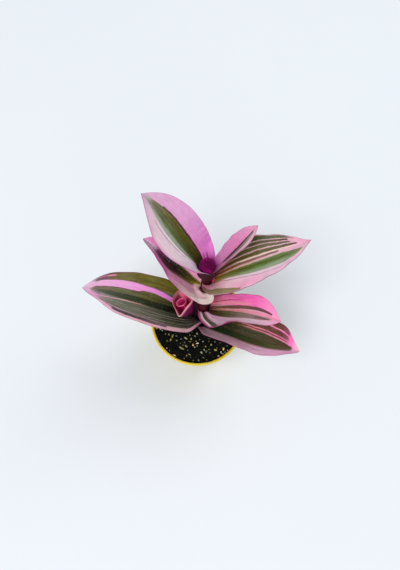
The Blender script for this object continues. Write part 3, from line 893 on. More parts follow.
          [(0.02, (86, 52, 40)), (0.15, (112, 78, 56)), (0.3, (108, 74, 56)), (0.6, (106, 66, 60)), (0.85, (106, 54, 72))], s=0.016, ts=(0.02, 0.875), st=0.008),
        L([(0.05, -0.06), (0.3, 0.0), (0.6, 0.03), (0.9, 0.02)], [(0.05, 0.0), (0.15, 0.05), (0.3, 0.125), (0.6, 0.185), (0.9, 0.24)],
          [(0.02, (120, 76, 60)), (0.2, (186, 122, 110)), (0.45, (208, 128, 138)), (0.9, (224, 136, 168))], s=0.016, ts=(0.02, 1.0)),
        L(-1.2, -0.3, [(0.0, (160, 90, 120)), (0.15, (196, 150, 176)), (0.4, (210, 178, 192)), (0.7, (216, 190, 202)), (0.88, (222, 166, 192)), (1.0, (230, 150, 188))], s=0.03),
        L([(0.02, -0.32), (0.15, -0.34), (0.3, -0.42), (0.45, -0.46), (0.6, -0.4), (0.75, -0.36), (0.87, -0.3)], [(0.02, -0.05), (0.2, -0.02), (0.5, 0.02), (0.7, 0.01), (0.87, -0.02)],
          [(0.0, (52, 30, 26)), (0.12, (62, 50, 30)), (0.25, (82, 76, 46)), (0.42, (110, 100, 82)), (0.6, (140, 122, 114)), (0.75, (150, 128, 124)), (0.87, (170, 120, 136))], s=0.03, ts=(0.0, 0.87), st=0.03),
        L(-0.28, -0.08, (104, 84, 80), s=0.04, ts=(0.67, 0.84), st=0.02, k=0.8),
        L(-0.25, -0.2, (70, 66, 46), s=0.02, ts=(0.12, 0.6), st=0.06, k=0.4),
        LN([(0.0, -0.36), (0.1, -0.4), (0.2, -0.47), (0.3, -0.58), (0.4, -0.7)], 0.07, (204, 150, 190), s=0.03, ts=(0.0, 0.4), st=0.06, k=0.9),
        LN([(0.02, -0.46), (0.12, -0.53), (0.2, -0.62), (0.28, -0.74)], 0.035, (226, 206, 212), s=0.018, ts=(0.02, 0.3), st=0.04, k=0.9),
        L([(0.0, -0.74), (0.08, -0.8), (0.16, -0.9), (0.26, -1.05)], [(0.0, -0.58), (0.08, -0.62), (0.16, -0.7), (0.22, -0.8), (0.28, -0.93)],
          [(0.0, (60, 44, 50)), (0.1, (74, 78, 62)), (0.28, (104, 96, 84))], s=0.018, ts=(0.0, 0.29), st=0.02),
        L([(0.0, -0.84), (0.08, -0.9), (0.16, -1.0)], [(0.0, -0.76), (0.08, -0.82), (0.16, -0.92), (0.24, -1.04)], (204, 186, 184), s=0.018, ts=(0.0, 0.24), st=0.03),
        L(-1.2, -0.93, (150, 36, 106), s=0.02, ts=(0.02, 0.2), st=0.02, k=0.8),
        L(-1.2, [(0.33, -1.0), (0.4, -0.8), (0.5, -1.0)], (160, 40, 112), s=0.06, ts=(0.3, 0.52), st=0.05, k=0.9),
    ],
    "leaf_lower_right": [
        [(0.0, (70, 40, 40)), (0.2, (90, 74, 40)), (0.6, (112, 92, 60)), (0.85, (170, 110, 130)), (1.0, (222, 160, 186))],
        L(0.28, 1.2, [(0.0, (48, 36, 20)), (0.25, (72, 58, 26)), (0.5, (88, 60, 38)), (0.8, (100, 58, 54)), (0.9, (160, 84, 116))], s=0.02),
        LN([(0.2, 0.66), (0.6, 0.72), (0.9, 0.70)], 0.06, [(0.2, (170, 110, 120)), (0.7, (226, 130, 168)), (0.9, (234, 120, 178))], s=0.018, ts=(0.25, 1.0), st=0.08),
        LN([(0.3, 0.47), (0.5, 0.465), (0.7, 0.44), (0.9, 0.38)], 0.04, [(0.3, (150, 96, 84)), (0.6, (208, 116, 132)), (0.85, (226, 124, 166))], s=0.014, ts=(0.34, 1.0), st=0.08),
        LN([(0.4, 0.38), (0.55, 0.365), (0.7, 0.335), (0.9, 0.27)], 0.04, [(0.3, (150, 96, 84)), (0.6, (206, 120, 130)), (0.85, (226, 128, 166))], s=0.014, ts=(0.42, 1.0), st=0.08),
        L([(0.4, 0.4), (0.7, 0.365), (0.9, 0.3)], [(0.4, 0.445), (0.7, 0.415), (0.9, 0.35)], (132, 62, 78), s=0.012, ts=(0.45, 0.85), st=0.03, k=0.85),
        L(-0.04, [(0.2, 0.3), (0.6, 0.31), (0.9, 0.22)], [(0.05, (40, 34, 14)), (0.2, (46, 42, 12)), (0.32, (54, 50, 12)), (0.6, (64, 58, 18)), (0.85, (74, 58, 38)), (0.93, (104, 66, 66))], s=0.025, ts=(0.0, 0.925), st=0.012),
        L(-0.4, 0.0, [(0.05, (40, 40, 32)), (0.2, (38, 54, 38)), (0.35, (50, 62, 42)), (0.5, (66, 70, 42)), (0.75, (84, 84, 56)), (0.9, (106, 88, 78))], s=0.05, ts=(0.0, 0.91), st=0.02),
        L(-0.2, -0.165, (62, 66, 40), s=0.018, ts=(0.2, 0.85), st=0.06, k=0.5),
        L(0.1, 0.13, (78, 70, 28), s=0.018, ts=(0.2, 0.88), st=0.06, k=0.5),
        L(-1.2, -0.4, [(0.0, (158, 120, 136)), (0.15, (180, 144, 156)), (0.28, (190, 150, 162)), (0.4, (206, 160, 174)), (0.6, (212, 162, 186)), (0.88, (216, 158, 192)), (1.0, (224, 166, 192))], s=0.035),
        L(-0.47, -0.37, [(0.2, (110, 100, 84)), (0.5, (140, 110, 104)), (0.9, (160, 120, 130))], s=0.03, ts=(0.1, 0.9), st=0.04, k=0.8),
        LN([(0.25, -0.53), (0.4, -0.58), (0.5, -0.62), (0.62, -0.68)], 0.05, (146, 106, 126), s=0.02, ts=(0.28, 0.63), st=0.04, k=0.85),
        LN([(0.1, -0.62), (0.3, -0.74), (0.5, -0.82)], 0.03, (160, 128, 132), s=0.02, ts=(0.1, 0.5), st=0.06, k=0.6),
        L(0.2, 1.2, [(0.84, (228, 112, 170)), (0.93, (240, 108, 182)), (1.0, (226, 150, 186))], s=0.04, ts=(0.875, 1.0), st=0.02),
        L(-1.2, 1.2, [(0.9, (222, 140, 182)), (1.0, (226, 176, 194))], ts=(0.925, 1.0), st=0.02, k=0.9),
    ],
}

# colour, strength and width of each leaf's rim
RIMS = {
    "leaf_mid_left": ([(0.0, (196, 170, 168)), (0.2, (206, 170, 180)), (0.32, (190, 84, 146)), (0.8, (196, 60, 146)), (1.0, (214, 150, 190))], 0.7, 0.5, 1.26),
    "leaf_upper_right": ([(0.0, (96, 52, 58)), (0.3, (120, 66, 92)), (1.0, (140, 80, 116))], 0.62, 0.4, 0.93),
    "leaf_mid_right": ([(0.0, (150, 44, 106)), (0.25, (160, 60, 116)), (1.0, (150, 60, 120))], 0.62, 0.42, 0.93),
    "leaf_lower_right": ((160, 74, 124), 0.55, 0.4, 0.97),
    "leaf_lower_left": ((140, 72, 112), 0.55, 0.4, 1.0),
    "leaf_upper_left": ((140, 84, 124), 0.6, 0.36, 0.93),
    "leaf_top_right": ((150, 78, 120), 0.6, 0.36, 0.95),
}

leaf_skins = {}
for number, (leaf_name, p) in enumerate(LEAVES.items()):
    ob, S_grid, N_grid = leaf_object(leaf_name, p, number + 1)
    finish_piece(ob, "variegated_leaf", leaf_material(leaf_name + "_paint", PATTERNS[leaf_name], number + 1, *RIMS.get(leaf_name, ())), leaf_name)
    leaf_skins[leaf_name] = (ob, S_grid, N_grid)

# ------------------------------------------------------------------ pot
POT_LINE = [
    (0, 0.35), (15.0, 0.35), (15.45, 0.22), (15.7, 0.04), (15.95, 0), (17.35, 0), (17.8, 0.16), (18.02, 0.42), (18.12, 0.8), (18.45, 1.8),
    (18.62, 2.9), (20.1, 11.8), (21.6, 20.8), (23.1, 29.8), (24.65, 39.0), (25.2, 42.3), (25.34, 42.62), (25.7, 42.78), (26.25, 42.84), (26.5, 43.02),
    (26.62, 43.3), (26.75, 43.9), (26.86, 45.4), (26.97, 46.75), (27.06, 46.98), (27.26, 47.12), (27.4, 47.42), (27.49, 47.85), (27.5, 48.15),
    (27.44, 48.5), (27.3, 48.78), (27.1, 48.95), (26.9, 49.0), (26.74, 48.95), (26.62, 48.82), (26.54, 48.66), (26.46, 48.62), (26.38, 48.68),
    (26.3, 48.76), (26.2, 48.74), (26.13, 48.58), (26.1, 48.2), (26.05, 47.4), (25.94, 45.4), (25.85, 43.5), (25.7, 43.0), (25.1, 42.35), (24.3, 42.0),
    (23.0, 34.5), (20.5, 19.3), (18.1, 4.6), (17.65, 2.1), (17.45, 1.62), (16.9, 1.4), (0, 1.4),
]
SEG = 192
line_r = np.array([q[0] for q in POT_LINE[1:-1]])
line_z = np.array([q[1] for q in POT_LINE[1:-1]])
turn = TAU * np.arange(SEG) / SEG
R = np.stack([line_r[:, None] * np.cos(turn), line_r[:, None] * np.sin(turn), line_z[:, None] + 0 * turn], -1)
pts, faces = ring_solid(R, (0, 0, 0.35), (0, 0, 1.4))
pot_ob = make("pot_shell", pts, faces)
for i in range(HOLES):
    a = TAU * (i + 0.5) / HOLES
    bpy.ops.mesh.primitive_cylinder_add(vertices=48, radius=HOLE_R * MM, depth=6 * MM, location=(math.cos(a) * HOLE_RING_R * MM, math.sin(a) * HOLE_RING_R * MM, 0.5 * MM), rotation=(0, 0, 0.023 + 0.4 * i))
    drill = bpy.context.object
    mod = pot_ob.modifiers.new("hole", "BOOLEAN")
    mod.operation = "DIFFERENCE"
    mod.solver = "EXACT"
    mod.object = drill
    bpy.context.view_layer.update()
    drilled = bpy.data.meshes.new_from_object(pot_ob.evaluated_get(bpy.context.evaluated_depsgraph_get()))
    pot_ob.modifiers.clear()
    pot_ob.data = drilled
    bpy.data.objects.remove(drill)
pot_ob.data.set_sharp_from_angle(angle=math.radians(38))

m = Mat("pot_paint", 0.34, 0.45)
c = m.coord()
broad = m.noise(m.scale(c, (60, 60, 90)), 1.0, 3.0, 0.55)
speck = m.noise(m.scale(c, (900, 900, 900)), 1.0, 2.0, 0.5)
sep = m.t.nodes.new("ShaderNodeSeparateXYZ")
m.put(sep.inputs[0], c)
px, py, pz = sep.outputs
pr = m.math("SQRT", m.math("ADD", m.math("MULTIPLY", px, px), m.math("MULTIPLY", py, py)))
col = m.mix(broad, lin((206, 180, 34)), lin((219, 196, 46)))
# the bead of the rim is brighter, the groove in it holds dust
col = m.mix(m.span(pz, 0.0478, 0.0488), col, lin((226, 201, 50)))
groove = m.math("MULTIPLY", m.span(pr, 0.02636, 0.02648), m.span(pr, 0.02652, 0.02666, 1.0, 0.0))
groove = m.math("MULTIPLY", groove, m.span(pz, 0.0482, 0.0485))
col = m.mix(m.math("MULTIPLY", groove, 0.75), col, lin((150, 120, 26)))
# soil smears on the inner wall, and a few on the rim
grime = m.span(m.noise(m.scale(c, (260, 260, 420)), 1.0, 4.0, 0.65), 0.5, 0.68)
inside = m.math("MULTIPLY", m.span(pr, 0.0255, 0.0262, 1.0, 0.0), m.span(pz, 0.0431, 0.0436))
inside = m.math("MULTIPLY", inside, m.span(pz, 0.0468, 0.0487, 1.0, 0.12))
col = m.mix(m.math("MULTIPLY", inside, m.math("MULTIPLY_ADD", grime, 0.7, 0.3)), col, lin((44, 36, 20)))
col = m.mix(m.math("MULTIPLY", grime, 0.10), col, lin((120, 96, 40)))
low = m.span(pz, 0.0, 0.012, 0.35, 0.0)
col = m.mix(m.math("MULTIPLY", low, m.span(broad, 0.35, 0.7)), col, lin((150, 120, 60)))
m.set("Base Color", col)
m.set("Roughness", m.math("MULTIPLY_ADD", broad, 0.18, 0.27))
m.set("Subsurface Weight", 0.15)
m.set("Subsurface Radius", (1.0, 0.7, 0.2))
m.set("Subsurface Scale", 0.0015)
m.set("Normal", m.bump(speck, 0.15, 0.00006))
finish_piece(pot_ob, "pot_plastic", m.mat, "pot")


# ------------------------------------------------------------------ soil
def soil_level(x, y):
    r = np.hypot(x, y)
    z = through([0, 6, 9, 12, 15.5, 19, 22.3, 24.8], [46.5, 46.5, 46.5, 46.75, 46.4, 46.9, 46.6, 46.72], np.clip(r, 0, 24.8))
    z = z + smooth((r - 5) / 4) * (0.32 * np.sin(x * 0.9 + 1.3) * np.cos(y * 0.83 + x * 0.31) + 0.16 * np.sin(x * 1.9 - y * 1.7))
    return z


def soil_relief(x, y):
    a = noise3(x / 1.9, y / 1.9, 0.5, 41)
    b = noise3(x / 0.85, y / 0.85, 1.5, 42)
    c = noise3(x / 0.42, y / 0.42, 2.5, 43)
    return 0.42 * a + 0.42 * np.abs(b) + 0.16 * c - 0.22


rings_top = np.concatenate([np.linspace(25.62, 3.45, 96)])
SOIL_SEG = 300
ang = TAU * np.arange(SOIL_SEG) / SOIL_SEG
RR = rings_top[:, None] + 0 * ang
axis = stem_point(46.5)
near = smooth((rings_top - 3.45) / 6)[:, None]
X = RR * np.cos(ang) + axis[0] * (1 - near)
Y = RR * np.sin(ang) + axis[1] * (1 - near)
Z = soil_level(X, Y) + soil_relief(X, Y) * smooth((RR - 3.2) / 1.0)
Z = Z - 1.1 * smooth((RR - 24.7) / 0.92) ** 1.5
Z = np.minimum(Z, 47.7)
top = np.stack([X, Y, Z], -1)
low_r = [17.15, 20.3, 23.75, 25.2, 25.6]
low_z = [2.5, 21.0, 41.8, 43.8, 45.0]
side = np.stack([np.stack([r * np.cos(ang), r * np.sin(ang), z + 0 * ang], -1) for r, z in zip(low_r, low_z)])
side[1:4, :, :2] *= (1 + 0.004 * noise3(np.cos(ang) * 9, np.sin(ang) * 9, np.arange(3)[:, None] * 3.1, 44))[..., None]
foot = np.stack([16.6 * np.cos(ang), 16.6 * np.sin(ang), FLOOR_T + GAP + 0 * ang], -1)[None]
RS = np.concatenate([foot, side, top])
well = np.stack([axis[0] + 3.35 * np.cos(ang), axis[1] + 3.35 * np.sin(ang), 45.2 + 0 * ang], -1)[None]
well2 = np.stack([stem_point(38)[0] + 3.35 * np.cos(ang), stem_point(38)[1] + 3.35 * np.sin(ang), 37.7 + 0 * ang], -1)[None]
RS = np.concatenate([RS, well, well2])
pts, faces = ring_solid(RS, (0, 0, FLOOR_T + GAP), (*stem_point(38)[:2], 37.7))
parts = [(pts, outward(pts, faces), {"tone": -1.0})]

bpy.ops.mesh.primitive_ico_sphere_add(subdivisions=2, radius=1)
ico = bpy.context.object
ICO_P = np.array([tuple(q.co) for q in ico.data.vertices])
ICO_F = np.array([tuple(q.vertices) for q in ico.data.polygons])
bpy.data.objects.remove(ico)
bpy.ops.mesh.primitive_ico_sphere_add(subdivisions=1, radius=1)
ico = bpy.context.object
ICO1_P = np.array([tuple(q.co) for q in ico.data.vertices])
ICO1_F = np.array([tuple(q.vertices) for q in ico.data.polygons])
bpy.data.objects.remove(ico)
rng = np.random.default_rng(20417)


def lump(centre, size, turn_deg, rough, seed, fine=False, tilt=0.0):
    """A stone or crumb: a ball with flats and dents, stretched to size."""
    P, F = (ICO_P, ICO_F) if fine else (ICO1_P, ICO1_F)
    k = 1 + rough * noise3(P[:, 0] * 1.3 + seed, P[:, 1] * 1.3, P[:, 2] * 1.3, seed) + rough * 0.5 * noise3(P[:, 0] * 3.1, P[:, 1] * 3.1 + seed, P[:, 2] * 3.1, seed + 9)
    Q = P * k[:, None]
    # a few flat faces
    g = np.random.default_rng(seed)
    for _ in range(7):
        n = unit(g.normal(size=3))
        d = Q @ n - g.uniform(0.42, 0.78)
        Q = Q - np.clip(d, 0, None)[:, None] * n
    Q = Q * size
    a, b = math.radians(turn_deg), tilt
    c, s = math.cos(b), math.sin(b)
    Q = Q @ np.array([[c, 0, -s], [0, 1, 0], [s, 0, c]])
    c, s = math.cos(a), math.sin(a)
    Q = Q @ np.array([[c, s, 0], [-s, c, 0], [0, 0, 1]])
    return Q + centre, outward(Q, [F])


CHIPS = [  # x, y, length, width, turn, tone
    (-20.6, -6.5, 0.7, 0.6, 0, 6), (-18.8, -8.6, 0.7, 0.5, 60, 2), (-16.7, -8.9, 0.9, 0.6, 120, 1), (-14.7, -9.9, 1.9, 0.9, 75, 3), (-15.7, -12.0, 1.5, 0.8, 65, 3),
    (-12.3, -9.7, 1.1, 0.8, 150, 5), (-12.1, -12.5, 1.0, 0.6, 0, 2), (-9.7, -11.5, 0.9, 0.8, 30, 5), (-7.1, -10.9, 2.0, 0.7, 142, 1), (-4.5, -9.2, 1.1, 0.8, 90, 5),
    (-3.7, -11.5, 0.9, 0.7, 90, 1), (-1.5, -9.7, 1.2, 0.9, 10, 5), (-0.2, -8.3, 1.2, 0.7, 120, 6), (-4.7, -13.0, 1.3, 0.6, 0, 1), (-7.6, -13.6, 0.8, 0.8, 0, 5),
    (-6.6, -15.7, 1.7, 0.8, 145, 1), (-8.5, -15.2, 0.9, 0.7, 20, 5), (-8.9, -17.2, 2.0, 1.6, 165, 3), (-10.0, -16.6, 1.2, 0.9, 90, 1), (-13.5, -21.0, 2.5, 0.9, 162, 0),
    (-6.2, -21.3, 1.2, 0.7, 40, 2), (-4.7, -20.7, 1.5, 0.6, 155, 1), (-2.7, -15.1, 1.5, 0.8, 115, 0), (-1.6, -16.4, 0.9, 0.8, 90, 6), (-0.1, -14.1, 1.4, 0.9, 0, 7),
    (-0.9, -12.8, 0.9, 0.5, 0, 1), (-0.2, -15.6, 0.8, 0.6, 0, 4), (3.1, -13.0, 0.9, 0.7, 0, 6), (1.4, -11.7, 0.9, 0.6, 60, 5), (4.9, -15.9, 1.3, 0.8, 20, 2),
    (3.9, -18.0, 1.2, 0.6, 100, 6), (4.9, -19.0, 1.3, 0.9, 70, 5), (2.3, -19.8, 1.4, 0.8, 140, 6), (7.8, -14.9, 1.0, 0.9, 0, 4), (10.4, -18.0, 1.9, 1.1, 0, 1),
    (11.2, -17.0, 0.7, 0.6, 90, 3), (15.1, -17.3, 1.6, 0.7, 75, 0), (13.4, -19.2, 1.2, 0.8, 100, 6), (14.5, -20.2, 1.4, 0.6, 165, 1), (16.0, -19.3, 0.8, 0.8, 120, 5),
    (17.4, -18.3, 0.8, 0.6, 40, 4), (12.0, -21.6, 1.5, 0.7, 152, 4), (17.1, -15.4, 0.9, 0.7, 90, 6), (0.5, -23.9, 1.2, 1.0, 0, 5), (-2.5, -24.2, 0.7, 0.6, 0, 5),
    (6.9, -19.7, 0.8, 0.6, 0, 2), (3.4, -22.5, 0.7, 0.6, 0, 5), (9.9, -13.1, 0.9, 0.7, 110, 5), (13.1, -13.7, 0.9, 0.5, 0, 5), (-4.1, -22.3, 0.6, 0.5, 0, 5),
    (-17.9, -17.0, 0.8, 0.6, 0, 4), (6.7, -17.6, 0.6, 0.5, 10, 2), (-5.7, -18.2, 0.7, 0.5, 0, 5),
]
taken = [(x, y) for x, y, *_ in CHIPS]
for i, (x, y, length, width, deg, tone) in enumerate(CHIPS):
    z = float(soil_level(x, y) + soil_relief(x, y))
    h = min(width * 0.42, 0.5)
    q, f = lump((x, y, min(z + h * 0.55, 47.6)), (length * 0.68, width * 0.7, h), deg, 0.3, 500 + i, True, 0.12 * ((i % 5) - 2))
    parts.append((q, f, {"tone": tone / 10 + 0.05}))
while len(taken) < 53 + 120:
    r, a = 25.0 * math.sqrt(rng.uniform(0.02, 1)), rng.uniform(0, TAU)
    x, y = r * math.cos(a), r * math.sin(a)
    if r > 24.9 or math.hypot(x - axis[0], y - axis[1]) < 4.6:
        continue
    front = y < -6
    if front and len(taken) % 2:
        continue
    if min(math.hypot(x - p, y - q) for p, q in taken) < 1.1:
        continue
    taken.append((x, y))
    length = rng.uniform(0.45, 1.0) if front else rng.uniform(0.6, 2.0)
    width = length * rng.uniform(0.45, 0.9)
    z = float(soil_level(x, y) + soil_relief(x, y))
    h = min(width * 0.42, 0.5)
    q, f = lump((x, y, min(z + h * 0.4, 47.5)), (length * 0.6, width * 0.6, h), rng.uniform(0, 180), 0.3, 900 + len(taken), True, rng.uniform(-0.3, 0.3))
    parts.append((q, f, {"tone": float(rng.choice([0.15, 0.25, 0.35, 0.45, 0.55, 0.55, 0.65]))}))
count = 0
while count < 1150:
    r, a = 25.2 * math.sqrt(rng.uniform(0.02, 1)), rng.uniform(0, TAU)
    x, y = r * math.cos(a), r * math.sin(a)
    if r > 25.0 or math.hypot(x - axis[0], y - axis[1]) < 4.2:
        continue
    count += 1
    s = rng.uniform(0.2, 0.5) ** 1.0 * (1.7 if rng.uniform() < 0.25 else 1) * (0.7 if r > 24 else 1)
    z = float(soil_level(x, y) + soil_relief(x, y))
    q, f = lump((x, y, min(z + s * 0.25, 47.4)), (s, s * rng.uniform(0.6, 1.0), s * rng.uniform(0.5, 0.8)), rng.uniform(0, 180), 0.25, 2000 + count, s > 0.45, rng.uniform(-0.4, 0.4))
    parts.append((q, f, {"tone": -0.75 + 0.3 * rng.uniform()}))
# fibres of coir and bark slivers
for i in range(46):
    r, a, d = 24.0 * math.sqrt(rng.uniform(0.05, 1)), rng.uniform(0, TAU), rng.uniform(0, TAU)
    x, y = r * math.cos(a), r * math.sin(a)
    if math.hypot(x - axis[0], y - axis[1]) < 5:
        continue
    n = rng.uniform(1.2, 3.2)
    z = float(soil_level(x, y) + soil_relief(x, y)) + 0.12
    q, f = hair(np.array([x, y, z]), (math.cos(d), math.sin(d), 0.1), n, 0.09, (0.2 * math.sin(d), -0.2 * math.cos(d), -0.12))
    keep = np.hypot(q[:, 0], q[:, 1]).max() < 25.3
    if keep:
        parts.append((q, f, {"tone": -0.3}))
# crumbs that lie on the rim
for i, (x, y, s, tone) in enumerate([(6.3, -26.15, 0.42, 0.62), (7.1, -25.95, 0.34, 0.15), (5.5, -26.2, 0.28, -0.6), (7.9, -25.75, 0.3, -0.55), (-13.1, -23.5, 0.24, -0.6), (21.2, 16.6, 0.3, -0.6), (-24.6, 10.6, 0.26, -0.55), (2.1, 26.75, 0.3, 0.3), (-8.9, -25.4, 0.2, -0.6), (17.9, -19.8, 0.22, -0.6)]):
    k = 26.6 / math.hypot(x, y)
    q, f = lump((x * k, y * k, 49.0 + s * 0.32), (s * 1.2, s * 0.8, s * 0.6), 40 * i, 0.2, 3000 + i, True)
    parts.append((q, f, {"tone": tone}))
pts, faces, at = join(parts)
soil_ob = make("soil_block", pts, faces, at, flip=False)
soil_ob.data.polygons.foreach_set("use_smooth", np.array([False] * len(soil_ob.data.polygons)))
ground_faces = len(parts[0][1][0]) + len(parts[0][1][1])

m = Mat("soil_paint", 0.92, 0.06)
c = m.coord()
tone = m.attr("tone")
n1 = m.noise(m.scale(c, (420, 420, 420)), 1.0, 4.0, 0.6)
n2 = m.noise(m.scale(c, (1500, 1500, 1500)), 1.0, 2.0, 0.6)
dark = m.ramp(n1, [(0.3, (3, 4, 3)), (0.48, (7, 9, 7)), (0.6, (14, 16, 12)), (0.72, (28, 27, 20))])
dark = m.mix(m.span(tone, -0.8, -0.4), dark, m.ramp(n1, [(0.3, (8, 8, 6)), (0.6, (28, 26, 18)), (0.75, (50, 44, 30))]))
dark = m.mix(m.math("MULTIPLY", m.span(n2, 0.58, 0.7), 0.5), dark, lin((66, 68, 50)))
root = m.math("MULTIPLY", m.span(tone, -0.36, -0.32), m.span(tone, -0.28, -0.24, 1.0, 0.0))
dark = m.mix(root, dark, lin((104, 84, 54)))
chip = m.ramp(m.math("ADD", tone, 0.0), [(0.0, (226, 196, 132)), (0.1, (168, 158, 104)), (0.2, (134, 132, 74)), (0.3, (142, 138, 74)), (0.4, (178, 152, 116)), (0.5, (120, 122, 104)), (0.6, (172, 176, 150)), (0.7, (236, 228, 208))], "CONSTANT")
chip = m.bright(chip, m.math("MULTIPLY_ADD", m.noise(m.scale(c, (1300, 1300, 1300)), 1.0, 3.0, 0.6), 1.0, 0.42))
m.set("Base Color", m.mix(m.span(tone, -0.05, 0.0), dark, chip))
m.set("Roughness", m.math("MULTIPLY_ADD", n1, 0.3, 0.62))
m.set("Normal", m.bump(m.math("ADD", n2, m.math("MULTIPLY", n1, 1.5)), 0.8, 0.0002))
finish_piece(soil_ob, "potting_mix", m.mat, "soil")


# ------------------------------------------------------------------ stem
def frame_ring(centre, heading, radii, angles):
    e1 = unit(np.array([1.0, 0, 0]) - heading * heading[0])
    e2 = np.cross(heading, e1)
    return centre + (np.cos(angles) * radii)[:, None] * e1 + (np.sin(angles) * radii)[:, None] * e2


ang = TAU * np.arange(120) / 120
nodes_z = [p["node"] for p in LEAVES.values()]
R, hs = [], np.concatenate([[38.0, 38.06, 38.2], np.linspace(38.5, STEM_TOP - 0.5, 300), [STEM_TOP - 0.3, STEM_TOP - 0.12, STEM_TOP]])
for z in hs:
    r = float(through(STEM_Z, STEM_R, z))
    r *= 0.965 + 0.02 * sum(math.exp(-(((z - q - 0.6) / 1.3) ** 2)) for q in nodes_z)
    r += 0.025 * noise3(np.cos(ang) * 3, np.sin(ang) * 3, z * 0.35, 61) + 0.03 * np.cos(ang * 14 + 0.02 * z) * smooth((z - 47) / 2)
    for q in nodes_z:
        r = r - 0.07 * math.exp(-(((z - q + 1.0) / 0.18) ** 2))
    cap = min(1, (z - 38.0 + 0.02) / 0.5, (STEM_TOP - z + 0.02) / 0.5)
    r = r * (0.35 + 0.65 * math.sqrt(max(0, 1 - (1 - cap) ** 2)))
    R.append(frame_ring(stem_point(z), stem_heading(z), np.broadcast_to(r, ang.shape), ang))
pts, faces = ring_solid(np.array(R), stem_point(38.0), stem_point(STEM_TOP))
stem_ob = make("stem_skin_mesh", pts, faces)
m = Mat("stem_paint", 0.5, 0.22)
c = m.coord()
streak = m.noise(m.scale(c, (900, 900, 60)), 1.0, 3.0, 0.6)
blot = m.noise(m.scale(c, (160, 160, 120)), 1.0, 3.0, 0.55)
col = m.ramp(blot, [(0.3, (36, 4, 10)), (0.5, (56, 8, 16)), (0.68, (78, 14, 26))])
col = m.mix(m.math("MULTIPLY", m.span(streak, 0.48, 0.66), 0.45), col, lin((108, 30, 42)))
m.set("Base Color", col)
m.set("Subsurface Weight", 0.08)
m.set("Subsurface Radius", (1.0, 0.3, 0.3))
m.set("Subsurface Scale", 0.001)
m.set("Normal", m.bump(streak, 0.35, 0.00012))
finish_piece(stem_ob, "stem_skin", m.mat, "stem")


# ------------------------------------------------------------------ growing tip
TIP_Z = [102.0, 103.5, 105, 107, 108.5, 110, 111.5, 112.7]
TIP_R = [1.9, 2.1, 2.5, 3.2, 3.6, 3.4, 2.5, 1.2]
TIP_END = 113.4


def tip_centre(z):
    a = stem_point(min(z, 108))
    k = max(0.0, (z - 108) / (TIP_END - 108))
    return np.array([a[0], a[1] + 0.9 * k, z])


def tip_radius(z):
    return float(through(TIP_Z + [TIP_END], TIP_R + [0.05], z))


parts = []
hs = np.concatenate([[102.0, 102.08], np.linspace(102.3, 112.7, 60), [112.95, 113.1, 113.2]])
ang = TAU * np.arange(96) / 96
R = [frame_ring(tip_centre(z), np.array([0, 0.13, 0.99]), np.maximum(tip_radius(z) * (0.78 + 0.03 * np.cos(5 * ang + z) + 0.03 * noise3(np.cos(ang) * 2, np.sin(ang) * 2, z * 0.9, 63)), 0.06), ang) for z in hs]
pts, faces = ring_solid(np.array(R), tip_centre(102.0), tip_centre(113.22))
parts.append((pts, outward(pts, faces), {"sh": 0.25, "eg": 0.0}))


def scale_leaf(theta, z0, z1, spread, swell, thick, shade, lean=0.0):
    """A small pointed leaf that hugs the growing tip: theta where it stands, z0 to z1 its height."""
    n, k = 34, 25
    s = np.linspace(0, 1, n)
    a = np.linspace(-1, 1, k)
    outer = np.empty((n, k, 3))
    nrm = np.empty((n, k, 3))
    for i, si in enumerate(s):
        z = z0 + (z1 - z0) * si
        half = spread * (1 - si**2.4) ** 0.75 + 0.02
        c = tip_centre(z)
        r = tip_radius(z) * (0.82 + swell * math.sin(math.pi * min(si * 1.05, 1)) ** 0.8)
        r = max(r, 0.25)
        th = theta + a * half
        rr = np.maximum(r * (1 + 0.06 * np.cos(a * math.pi / 2)) + lean * si**3, 0.12)
        outer[i] = c + np.stack([np.cos(th) * rr, np.sin(th) * rr, 0 * th], -1)
        nrm[i] = np.stack([np.cos(th), np.sin(th), 0 * th + 0.25 * si], -1)
    nrm = unit(nrm)
    edge = (1 - np.abs(a))[None, :] * (1 - s[:, None] ** 3)
    th = thick * np.clip(edge / 0.25, 0.12, 1) ** 0.6
    inner = outer - nrm * th[..., None]
    pts = np.concatenate([outer.reshape(-1, 3), inner.reshape(-1, 3)])
    F = [grid_faces(n, k), grid_faces(n, k, n * k)[:, ::-1]]
    A = np.arange(n * k).reshape(n, k)
    B = A + n * k
    loop = np.concatenate([A[:, 0], A[-1, 1:], A[-2::-1, -1], A[0, -2:0:-1]])
    loop2 = np.concatenate([B[:, 0], B[-1, 1:], B[-2::-1, -1], B[0, -2:0:-1]])
    nx = np.roll(np.arange(len(loop)), -1)
    F.append(np.stack([loop, loop2, loop2[nx], loop[nx]], -1))
    F = [np.concatenate(F)]
    eg = np.concatenate([edge.ravel(), edge.ravel()])
    return pts, outward(pts, F), {"sh": shade, "eg": 1 - np.clip(eg / 0.3, 0, 1)}, outer, nrm


